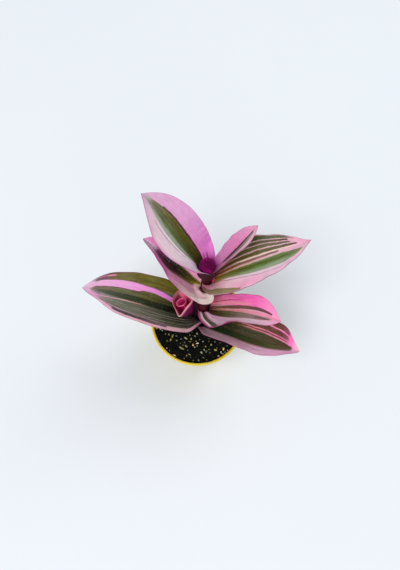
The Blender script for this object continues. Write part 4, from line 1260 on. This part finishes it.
scales = [
    (-2.5, 103.2, 111.9, 1.30, 0.17, 0.42, 0.55, 0.0), (-0.35, 103.4, 111.4, 1.05, 0.16, 0.4, 0.15, 0.0), (1.25, 103.4, 112.3, 1.15, 0.15, 0.4, 0.4, 0.0),
    (2.75, 103.4, 111.7, 1.0, 0.17, 0.4, 0.7, 0.0), (-1.45, 104.2, 111.0, 0.85, 0.185, 0.36, 0.8, 0.0), (0.45, 104.5, 112.6, 0.8, 0.10, 0.36, 0.3, 0.0),
    (2.0, 104.5, 113.1, 0.75, 0.08, 0.34, 0.6, 0.0), (-2.95, 105.0, 112.8, 0.8, 0.09, 0.34, 0.35, 0.0), (-0.9, 105.2, 112.9, 0.75, 0.07, 0.34, 0.2, 0.0),
    (0.2, 107.5, 113.15, 0.62, 0.02, 0.3, 0.75, -0.25), (1.3, 107.0, 113.3, 0.6, 0.03, 0.3, 0.45, -0.3), (2.6, 107.5, 113.1, 0.62, 0.02, 0.3, 0.25, -0.25),
    (3.7, 107.0, 113.25, 0.6, 0.03, 0.3, 0.65, -0.3), (4.7, 107.5, 113.1, 0.62, 0.02, 0.3, 0.4, -0.25), (5.6, 107.0, 113.3, 0.6, 0.03, 0.3, 0.6, -0.3),
]
rng = np.random.default_rng(77)
fur = []
for spec in scales:
    q, f, at, outer, nrm = scale_leaf(*spec)
    parts.append((q, f, at))
    n, k, _ = outer.shape
    for _ in range(150):
        i, j = rng.integers(4, n - 1), rng.integers(1, k - 1)
        up = np.array([0, 0, 1.0])
        side_v = rng.normal(size=3) * 0.3
        fur.append((outer[i, j], unit(nrm[i, j] * 0.9 + up * rng.uniform(0.5, 1.3) + side_v), rng.uniform(0.5, 1.0)))
    for j in list(range(1, k - 1, 2)) * 1:
        fur.append((outer[n - 3, j], unit(nrm[n - 3, j] * 0.5 + np.array([0, 0, 1.2]) + rng.normal(size=3) * 0.35), rng.uniform(0.6, 1.1)))
for root_p, d, n in fur:
    q, f = hair(root_p, d, n, 0.042, (0, 0, 0.15))
    parts.append((q, f, {"sh": 1.4 + 0.5 * rng.uniform(), "eg": 0.0}))
for _ in range(900):
    a, z = rng.uniform(0, TAU), 113.25 - 4.5 * rng.uniform() ** 2.0
    r = tip_radius(z) * 0.86
    d = np.array([math.cos(a), math.sin(a), 0.0])
    q, f = hair(tip_centre(z) + d * r, unit(d * rng.uniform(0.3, 1.0) + np.array([0, 0, 1.0]) + rng.normal(size=3) * 0.25), rng.uniform(0.5, 0.95), 0.042, (0, 0, 0.15))
    parts.append((q, f, {"sh": 1.4 + 0.5 * rng.uniform(), "eg": 0.0}))
pts, faces, at = join(parts)
tip_ob = make("tip_fur", pts, faces, at, flip=False)
m = Mat("tip_paint", 0.66, 0.1)
c = m.coord()
sh, eg = m.attr("sh"), m.attr("eg")
n1 = m.noise(m.scale(c, (480, 480, 300)), 1.0, 3.0, 0.55)
col = m.ramp(sh, [(0.1, (70, 0, 38)), (0.35, (98, 0, 62)), (0.6, (126, 0, 84)), (0.85, (150, 4, 104)), (1.0, (150, 4, 104))])
col = m.bright(col, m.math("MULTIPLY_ADD", n1, 1.1, 0.45))
col = m.mix(m.math("MULTIPLY", eg, 0.35), col, lin((176, 36, 132)))
col = m.mix(m.span(sh, 1.2, 1.35), col, m.ramp(m.math("SUBTRACT", sh, 1.0), [(0.4, (112, 0, 72)), (0.7, (146, 10, 104)), (0.95, (176, 50, 138))]))
m.set("Base Color", col)
m.set("Sheen Weight", 0.04)
m.set("Sheen Roughness", 0.4)
m.set("Sheen Tint", (1.0, 0.4, 0.85, 1.0))
m.set("Subsurface Weight", 0.1)
m.set("Subsurface Radius", (1.0, 0.2, 0.5))
m.set("Subsurface Scale", 0.0008)
m.set("Normal", m.bump(m.noise(m.scale(c, (2600, 2600, 900)), 1.0, 2.0), 0.6, 0.00012))
finish_piece(tip_ob, "furry_bud", m.mat, "tip_bud")


# ------------------------------------------------------------------ bud in the axil of the upper right leaf
AT, AR = np.array([8.2, 7.5, 97.1]), 1.2
parts = []
hs = np.linspace(-1, 1.33, 40)
ang = TAU * np.arange(48) / 48
bud_r = lambda h: AR * float(through([-1, -0.85, -0.45, 0, 0.55, 1.0, 1.34], [0.12, 0.52, 0.87, 1.0, 0.86, 0.5, 0.02], h))
R = [frame_ring(AT + [0, 0, AR * h], np.array([0, 0, 1.0]), np.full(48, bud_r(h) * 0.84), ang) for h in hs]
pts, faces = ring_solid(np.array(R))
parts.append((pts, outward(pts, faces), {"sh": 0.3, "eg": 0.0}))
for theta, h0, h1, spread, k in ((-1.0, -0.9, 1.1, 1.5, 0.97), (1.9, -0.9, 1.2, 1.4, 0.93), (-2.6, -0.7, 1.28, 1.1, 0.9)):
    n, w = 24, 19
    s, a = np.linspace(0, 1, n), np.linspace(-1, 1, w)
    outer = np.empty((n, w, 3))
    for i, si in enumerate(s):
        h = h0 + (h1 - h0) * si
        half = spread * (1 - si**2.5) ** 0.8 + 0.03
        r = max(bud_r(h) * k, 0.06)
        th = theta + a * half
        outer[i] = AT + np.stack([np.cos(th) * r, np.sin(th) * r, 0 * th + AR * h], -1)
    mid = AT + np.array([0, 0, 1.0]) * ((outer - AT) @ np.array([0, 0, 1.0]))[..., None]
    inner = outer + unit(mid - outer) * 0.09
    pts = np.concatenate([outer.reshape(-1, 3), inner.reshape(-1, 3)])
    A = np.arange(n * w).reshape(n, w)
    B = A + n * w
    loop = np.concatenate([A[:, 0], A[-1, 1:], A[-2::-1, -1], A[0, -2:0:-1]])
    loop2 = loop + n * w
    nx = np.roll(np.arange(len(loop)), -1)
    F = np.concatenate([grid_faces(n, w), grid_faces(n, w, n * w)[:, ::-1], np.stack([loop, loop2, loop2[nx], loop[nx]], -1)])
    edge = (1 - np.abs(a))[None, :] * (1 - s[:, None] ** 4)
    parts.append((pts, outward(pts, [F]), {"sh": 0.6, "eg": np.tile(1 - np.clip(edge.ravel() / 0.3, 0, 1), 2)}))
pts, faces, at = join(parts)
bud_ob = make("axil_scales", pts, faces, at, flip=False)
m = Mat("axil_paint", 0.42, 0.45)
col = m.mix(m.span(m.noise(m.scale(m.coord(), (900, 900, 500)), 1.0, 2.0), 0.35, 0.65), lin((138, 5, 58)), lin((178, 18, 88)))
col = m.mix(m.math("MULTIPLY", m.attr("eg"), 0.6), col, lin((228, 122, 112)))
m.set("Base Color", col)
m.set("Subsurface Weight", 0.1)
m.set("Subsurface Radius", (1.0, 0.3, 0.3))
m.set("Subsurface Scale", 0.0006)
finish_piece(bud_ob, "bud_skin", m.mat, "axil_bud")


# ------------------------------------------------------------------ side shoot
def shoot_axis(s):
    a, b, c = SHOOT_AXIS
    ctrl = 2 * b - 0.5 * (a + c)
    return a * (1 - s) ** 2 + ctrl * (2 * s * (1 - s)) + c * s * s


def shoot_heading(s):
    return unit(shoot_axis(min(s + 0.02, 1)) - shoot_axis(max(s - 0.02, 0)))


NM = len(SHOOT_MOUTH)


def mouth(u):
    i = np.floor(u).astype(int)
    f = (u - i)[:, None]
    a, b, c, d = (SHOOT_MOUTH[(i + k) % NM] for k in (-1, 0, 1, 2))
    return 0.5 * (2 * b + (c - a) * f + (2 * a - 5 * b + 4 * c - d) * f**2 + (3 * b - a - 3 * c + d) * f**3)


MC = SHOOT_AXIS[2]
mouth_angles = [math.atan2(q[1] - MC[1], q[0] - MC[0]) for q in SHOOT_MOUTH]
for i in range(1, NM):
    while mouth_angles[i] > mouth_angles[i - 1]:
        mouth_angles[i] -= TAU
mouth_angles = np.array(mouth_angles + [mouth_angles[0] - TAU])


def shoot_skin(s, u, inset):
    c, t = shoot_axis(s), shoot_heading(s)
    e1 = unit(np.array([1.0, 0, 0]) - t * t[0])
    e2 = np.cross(t, e1)
    a = np.interp(u, np.arange(NM + 1), mouth_angles)
    b = s**2.2
    r = np.maximum(np.interp(s, SHOOT_S, SHOOT_R) - inset, 0.05)
    rnd = np.cos(a)[:, None] * e1 * r + np.sin(a)[:, None] * e2 * r
    rim = mouth(u) - MC
    k = np.linalg.norm(rim, axis=1)[:, None]
    return c + rnd * (1 - b) + rim * (b * (k - inset) / k)


n_u = 216
us = np.arange(n_u) * NM / n_u
away_tip = np.abs((us - 2 + NM / 2) % NM - NM / 2)
out_s = np.concatenate([[0.0, 0.03], np.linspace(0.07, 0.985, 52)])
in_s = np.linspace(0.985, 0.2, 44)
wall = 0.5
rows = [shoot_skin(s, us, 0.0) for s in out_s]
lip = shoot_skin(1.0, us, 0.0)
lip_in = shoot_skin(1.0, us, wall)
rim_wave = 0.16 * noise3(us * 0.9, 0.3, 0.7, 71)[:, None] * np.array([0.0, 0, 1.0])
# the lip stands a little higher towards the leaf's tip, and its edge is round
edge_rows = []
for a in np.linspace(0, math.pi, 9):
    mid = (lip + lip_in) / 2
    halfv = (lip - lip_in) / 2
    edge_rows.append(mid + halfv * math.cos(a) + np.array([0, 0, 0.26 * math.sin(a)]) + rim_wave)
inner_rows = [shoot_skin(s, us, wall * (1 if s > 0.4 else 0.9)) for s in in_s]
R = np.array(rows + edge_rows + inner_rows)
S_at = np.concatenate([out_s, np.full(9, 1.0), in_s])
tip_k = np.exp(-((away_tip / 0.34) ** 2))
for i, s in enumerate(S_at):
    # veins stand out a little; the tip is drawn out to a blunt point
    heading = shoot_heading(min(s, 0.98))
    cen = R[i].mean(0)
    radial = unit(R[i] - cen)
    R[i] += radial * (0.035 * np.cos(us * TAU * 3) * smooth(s * 3) * smooth((0.97 - s) / 0.3))[:, None]
    k = tip_k * smooth((s - 0.72) / 0.28)
    R[i] += np.outer(k, np.array([0.0, -0.25, 0.15]))
sd = np.concatenate([np.zeros(len(out_s)), np.full(9, 0.5), np.ones(len(in_s))])
pts, faces = ring_solid(R, shoot_axis(0.0), shoot_axis(0.17))
attrs = {
    "ss": np.append(np.repeat(S_at, n_u), [0, 0.17]), "sd": np.append(np.repeat(sd, n_u), [0, 1]),
    "tp": np.append(np.tile(away_tip, len(S_at)), [4, 4]), "su": np.append(np.tile(us, len(S_at)), [0, 0]),
}
knob_c = (lip[int(round(2 * n_u / NM))] + lip_in[int(round(2 * n_u / NM))]) / 2 + np.array([0.02, -0.22, 0.1])
kp = ICO_P * np.array([0.42, 0.46, 0.38]) + knob_c
parts = [(pts, outward(pts, faces), attrs), (kp, outward(kp, [ICO_F]), {"ss": 1.0, "sd": 0.5, "tp": 0.0, "su": 2.0})]
pts, faces, at = join(parts)
outer_ob = make("shoot_outer_skin", pts, faces, at, flip=False)


def shoot_material(name, inner):
    m = Mat(name, 0.42, 0.26)
    ss, sd = m.attr("ss"), m.attr("sd")
    c = m.coord()
    vein = m.noise(m.scale(c, (1100, 1100, 160)), 1.0, 3.0, 0.55)
    blot = m.noise(m.scale(c, (260, 260, 200)), 1.0, 2.0, 0.5)
    return m, ss, sd, c, vein, blot


m, ss, sd, c, vein, blot = shoot_material("shoot_outer_paint", False)
su, tp = m.attr("su"), m.attr("tp")
outside = m.ramp(ss, [(0.0, (50, 8, 34)), (0.35, (68, 6, 46)), (0.6, (86, 6, 56)), (0.85, (104, 14, 66)), (1.0, (136, 44, 90))])
outside = m.mix(m.math("MULTIPLY", m.span(vein, 0.5, 0.66), 0.3), outside, lin((140, 40, 98)))
outside = m.mix(m.math("MULTIPLY", m.span(blot, 0.5, 0.7), 0.45), outside, lin((70, 2, 70)))
back = m.math("MULTIPLY", m.span(su, 5.4, 6.3), m.span(su, 8.4, 8.9, 1.0, 0.0))
inside = m.mix(back, m.ramp(ss, [(0.3, (120, 0, 44)), (0.7, (176, 4, 76)), (0.95, (190, 30, 92))]), m.ramp(ss, [(0.3, (160, 30, 70)), (0.7, (218, 84, 122)), (0.95, (240, 128, 158))]))
patch = m.math("MULTIPLY", m.span(su, 4.7, 5.0), m.span(su, 5.9, 6.3, 1.0, 0.0))
inside = m.mix(m.math("MULTIPLY", patch, 0.85), inside, lin((96, 24, 46)))
inside = m.mix(m.math("MULTIPLY", m.span(vein, 0.5, 0.66), 0.35), inside, lin((196, 70, 110)))
col = m.mix(m.span(sd, 0.4, 0.6), outside, inside)
edge = m.span(ss, 0.9, 0.975)
right = m.span(su, 1.9, 1.6)
edge_col = m.mix(m.span(su, 2.2, 3.6), lin((250, 164, 172)), lin((176, 104, 112)))
col = m.mix(m.math("MULTIPLY", edge, 0.92), col, edge_col)
col = m.mix(m.math("MULTIPLY", m.span(tp, 0.1, 0.5, 1.0, 0.0), m.span(ss, 0.86, 0.98)), col, lin((214, 176, 162)))
m.set("Base Color", m.bright(col, m.math("MULTIPLY_ADD", vein, 0.4, 0.8)))
m.set("Roughness", m.math("MULTIPLY_ADD", vein, 0.2, 0.3))
m.set("Subsurface Weight", 0.15)
m.set("Subsurface Radius", (1.0, 0.3, 0.45))
m.set("Subsurface Scale", 0.0012)
m.set("Normal", m.bump(vein, 0.4, 0.0001))
finish_piece(outer_ob, "young_leaf", m.mat, "shoot_leaf_outer")

# the leaf inside it is still rolled up, like a scroll
n_s, n_p = 56, 190
turns = 1.3
ss_ = np.linspace(0.24, 0.985, n_s)
phi = np.linspace(0, 1, n_p)
outer = np.empty((n_s, n_p, 3))
inner = np.empty((n_s, n_p, 3))
start = math.radians(-62)
for i, s in enumerate(ss_):
    cen = shoot_axis(s) + (ROLL_TOP - shoot_axis(s)) * max(0.0, (s - 0.6) / 0.4) * 0.7
    t = shoot_heading(min(s, 0.98))
    e1 = unit(np.array([1.0, 0, 0]) - t * t[0])
    e2 = np.cross(t, e1)
    Rs = float(through(ROLL_S, ROLL_R, s)) * (1.06 + 0.14 * smooth((s - 0.75) / 0.2))
    k = 1 - 0.3 * phi**0.9
    th = min(0.34, Rs * 0.17)
    r = Rs * k
    a = start - phi * TAU * turns
    wide = 1 + 0.14 * smooth((s - 0.7) / 0.25) * np.cos(a) ** 2 - 0.2 * smooth((s - 0.7) / 0.25) * np.sin(a) ** 2
    rise = (0.55 * np.cos(a - math.radians(70)) - 0.35 * phi) * smooth((s - 0.75) / 0.23)
    rim_r = 0.10 * np.exp(-((phi - 0.0) / 0.03) ** 2)
    d = np.cos(a)[:, None] * e1 + np.sin(a)[:, None] * e2
    outer[i] = cen + d * (r * wide + rim_r)[:, None] + rise[:, None] * t
    inner[i] = cen + d * (r * wide - th)[:, None] + rise[:, None] * t
loop_pts = np.concatenate([outer.reshape(-1, 3), inner.reshape(-1, 3)])
A = np.arange(n_s * n_p).reshape(n_s, n_p)
B = A + n_s * n_p
# rounded top edge
mid_rows = []
for a in np.linspace(0, math.pi, 7)[1:-1]:
    mid_rows.append((outer[-1] + inner[-1]) / 2 + (outer[-1] - inner[-1]) / 2 * math.cos(a) + t * 0.2 * math.sin(a))
M_ = np.arange(5 * n_p).reshape(5, n_p) + 2 * n_s * n_p
pts = np.concatenate([loop_pts, np.concatenate(mid_rows)])
sheet = np.concatenate([A, M_, B[::-1]])
q = np.stack([sheet[:-1, :-1], sheet[1:, :-1], sheet[1:, 1:], sheet[:-1, 1:]], -1).reshape(-1, 4)
bottom = np.stack([A[0, :-1], A[0, 1:], B[0, 1:], B[0, :-1]], -1)
ends = []
for col_i in (0, -1):
    colm = sheet[:, col_i]
    m_n = len(colm)
    half_n = m_n // 2
    for i in range(half_n):
        j0, j1 = i, m_n - 1 - i
        if j1 - 1 <= j0 + 1 and j1 - j0 <= 1:
            break
        if j1 - 1 == j0 + 1:
            ends.append(([colm[j0], colm[j0 + 1], colm[j1], colm[j1]], col_i))
        else:
            ends.append(([colm[j0], colm[j0 + 1], colm[j1 - 1], colm[j1]], col_i))
endq = np.array([e for e, k in ends if len(set(e)) == 4 and k == 0])
endq2 = np.array([e for e, k in ends if len(set(e)) == 4 and k == -1])[:, ::-1]
endt = np.array([e[:3] for e, k in ends if len(set(e)) == 3 and k == 0]).reshape(-1, 3)
endt2 = np.array([e[:3] for e, k in ends if len(set(e)) == 3 and k == -1]).reshape(-1, 3)[:, ::-1]
F4 = np.concatenate([q, bottom, endq[:, ::-1], endq2[:, ::-1]])
F3 = np.concatenate([endt[:, ::-1], endt2[:, ::-1]])
F = [F4, F3] if len(F3) else [F4]
sv = np.concatenate([np.repeat(ss_, n_p)] * 2 + [np.full(5 * n_p, 1.05)])
pv = np.concatenate([np.tile(phi, n_s)] * 2 + [np.tile(phi, 5)])
dv = np.concatenate([np.zeros(n_s * n_p), np.ones(n_s * n_p), np.full(5 * n_p, 0.5)])
# a heart leaf closes the middle
heart = []
hs = np.linspace(0, 1, 18)
for h in hs:
    s = 0.55 + 0.3 * h
    cen = shoot_axis(s) + (ROLL_TOP - shoot_axis(s)) * max(0.0, (s - 0.6) / 0.4) * 0.7
    t2 = shoot_heading(s)
    heart.append(frame_ring(cen, t2, np.full(36, max(0.5 * math.sin(math.pi * (0.12 + 0.86 * h)) ** 0.7, 0.03) * 1.1), TAU * np.arange(36) / 36))
hp, hf = ring_solid(np.array(heart))
parts = [(pts, outward(pts, F), {"ss": sv, "sd": dv, "ph": pv}), (hp, outward(hp, hf), {"ss": 0.6, "sd": 0.0, "ph": 0.9})]
pts, faces, at = join(parts)
roll_ob = make("shoot_roll", pts, faces, at, flip=False)
m, ss, sd, c, vein, blot = shoot_material("shoot_inner_paint", True)
ph = m.attr("ph")
wall_c = m.ramp(ss, [(0.3, (110, 0, 40)), (0.6, (158, 0, 66)), (0.85, (176, 6, 80)), (1.0, (190, 40, 104))])
wall_i = m.ramp(ss, [(0.4, (110, 0, 44)), (0.75, (164, 10, 78)), (0.95, (180, 48, 106))])
col = m.mix(m.span(sd, 0.6, 0.9), wall_c, wall_i)
col = m.mix(m.math("MULTIPLY", m.span(vein, 0.52, 0.66), 0.35), col, lin((192, 50, 104)))
lip_c = m.mix(m.span(ph, 0.5, 0.75), lin((236, 112, 146)), lin((196, 84, 100)))
col = m.mix(m.math("MULTIPLY", m.span(ss, 0.955, 0.985), 0.9), col, lip_c)
col = m.mix(m.math("MULTIPLY", m.span(ph, 0.004, 0.016, 1.0, 0.0), 0.9), col, lin((236, 112, 148)))
m.set("Base Color", m.bright(col, m.math("MULTIPLY_ADD", vein, 0.4, 0.8)))
m.set("Roughness", m.math("MULTIPLY_ADD", vein, 0.2, 0.28))
m.set("Subsurface Weight", 0.15)
m.set("Subsurface Radius", (1.0, 0.3, 0.45))
m.set("Subsurface Scale", 0.001)
m.set("Normal", m.bump(vein, 0.4, 0.0001))
finish_piece(roll_ob, "young_leaf", m.mat, "shoot_leaf_inner")

# ------------------------------------------------------------------ floor and light
bpy.ops.mesh.primitive_plane_add(size=30, location=(0, 0, 0))
floor = bpy.context.object
floor.name = "floor"
m = Mat("floor_paper", 0.9, 0.2)
m.set("Base Color", m.mix(m.noise(m.scale(m.coord(), (3, 3, 3)), 1.0, 2.0), lin((207, 212, 218)), lin((214, 218, 223))))
floor.data.materials.append(m.mat)

world = bpy.data.worlds.new("world")
scene.world = world
world.use_nodes = True
bg = world.node_tree.nodes["Background"]
bg.inputs[0].default_value = (0.955, 0.97, 1.0, 1)
bg.inputs[1].default_value = 0.63


def area(name, loc, target, size, energy, colour=(1, 1, 1)):
    d = bpy.data.lights.new(name, "AREA")
    d.shape = "DISK"
    d.size = size
    d.energy = energy
    d.color = colour
    o = bpy.data.objects.new(name, d)
    o.location = loc
    o.rotation_euler = (Vector(target) - Vector(loc)).to_track_quat("-Z", "Y").to_euler()
    scene.collection.objects.link(o)
    return o


area("key", (-0.55, -0.65, 1.9), (0, 0, 0.08), 0.9, 25.0, (1.0, 0.985, 0.965))
area("fill", (1.2, 0.9, 1.7), (0, 0, 0.08), 1.3, 17.0, (0.98, 0.985, 1.0))
scene.view_settings.view_transform = "Standard"
scene.view_settings.look = "None"
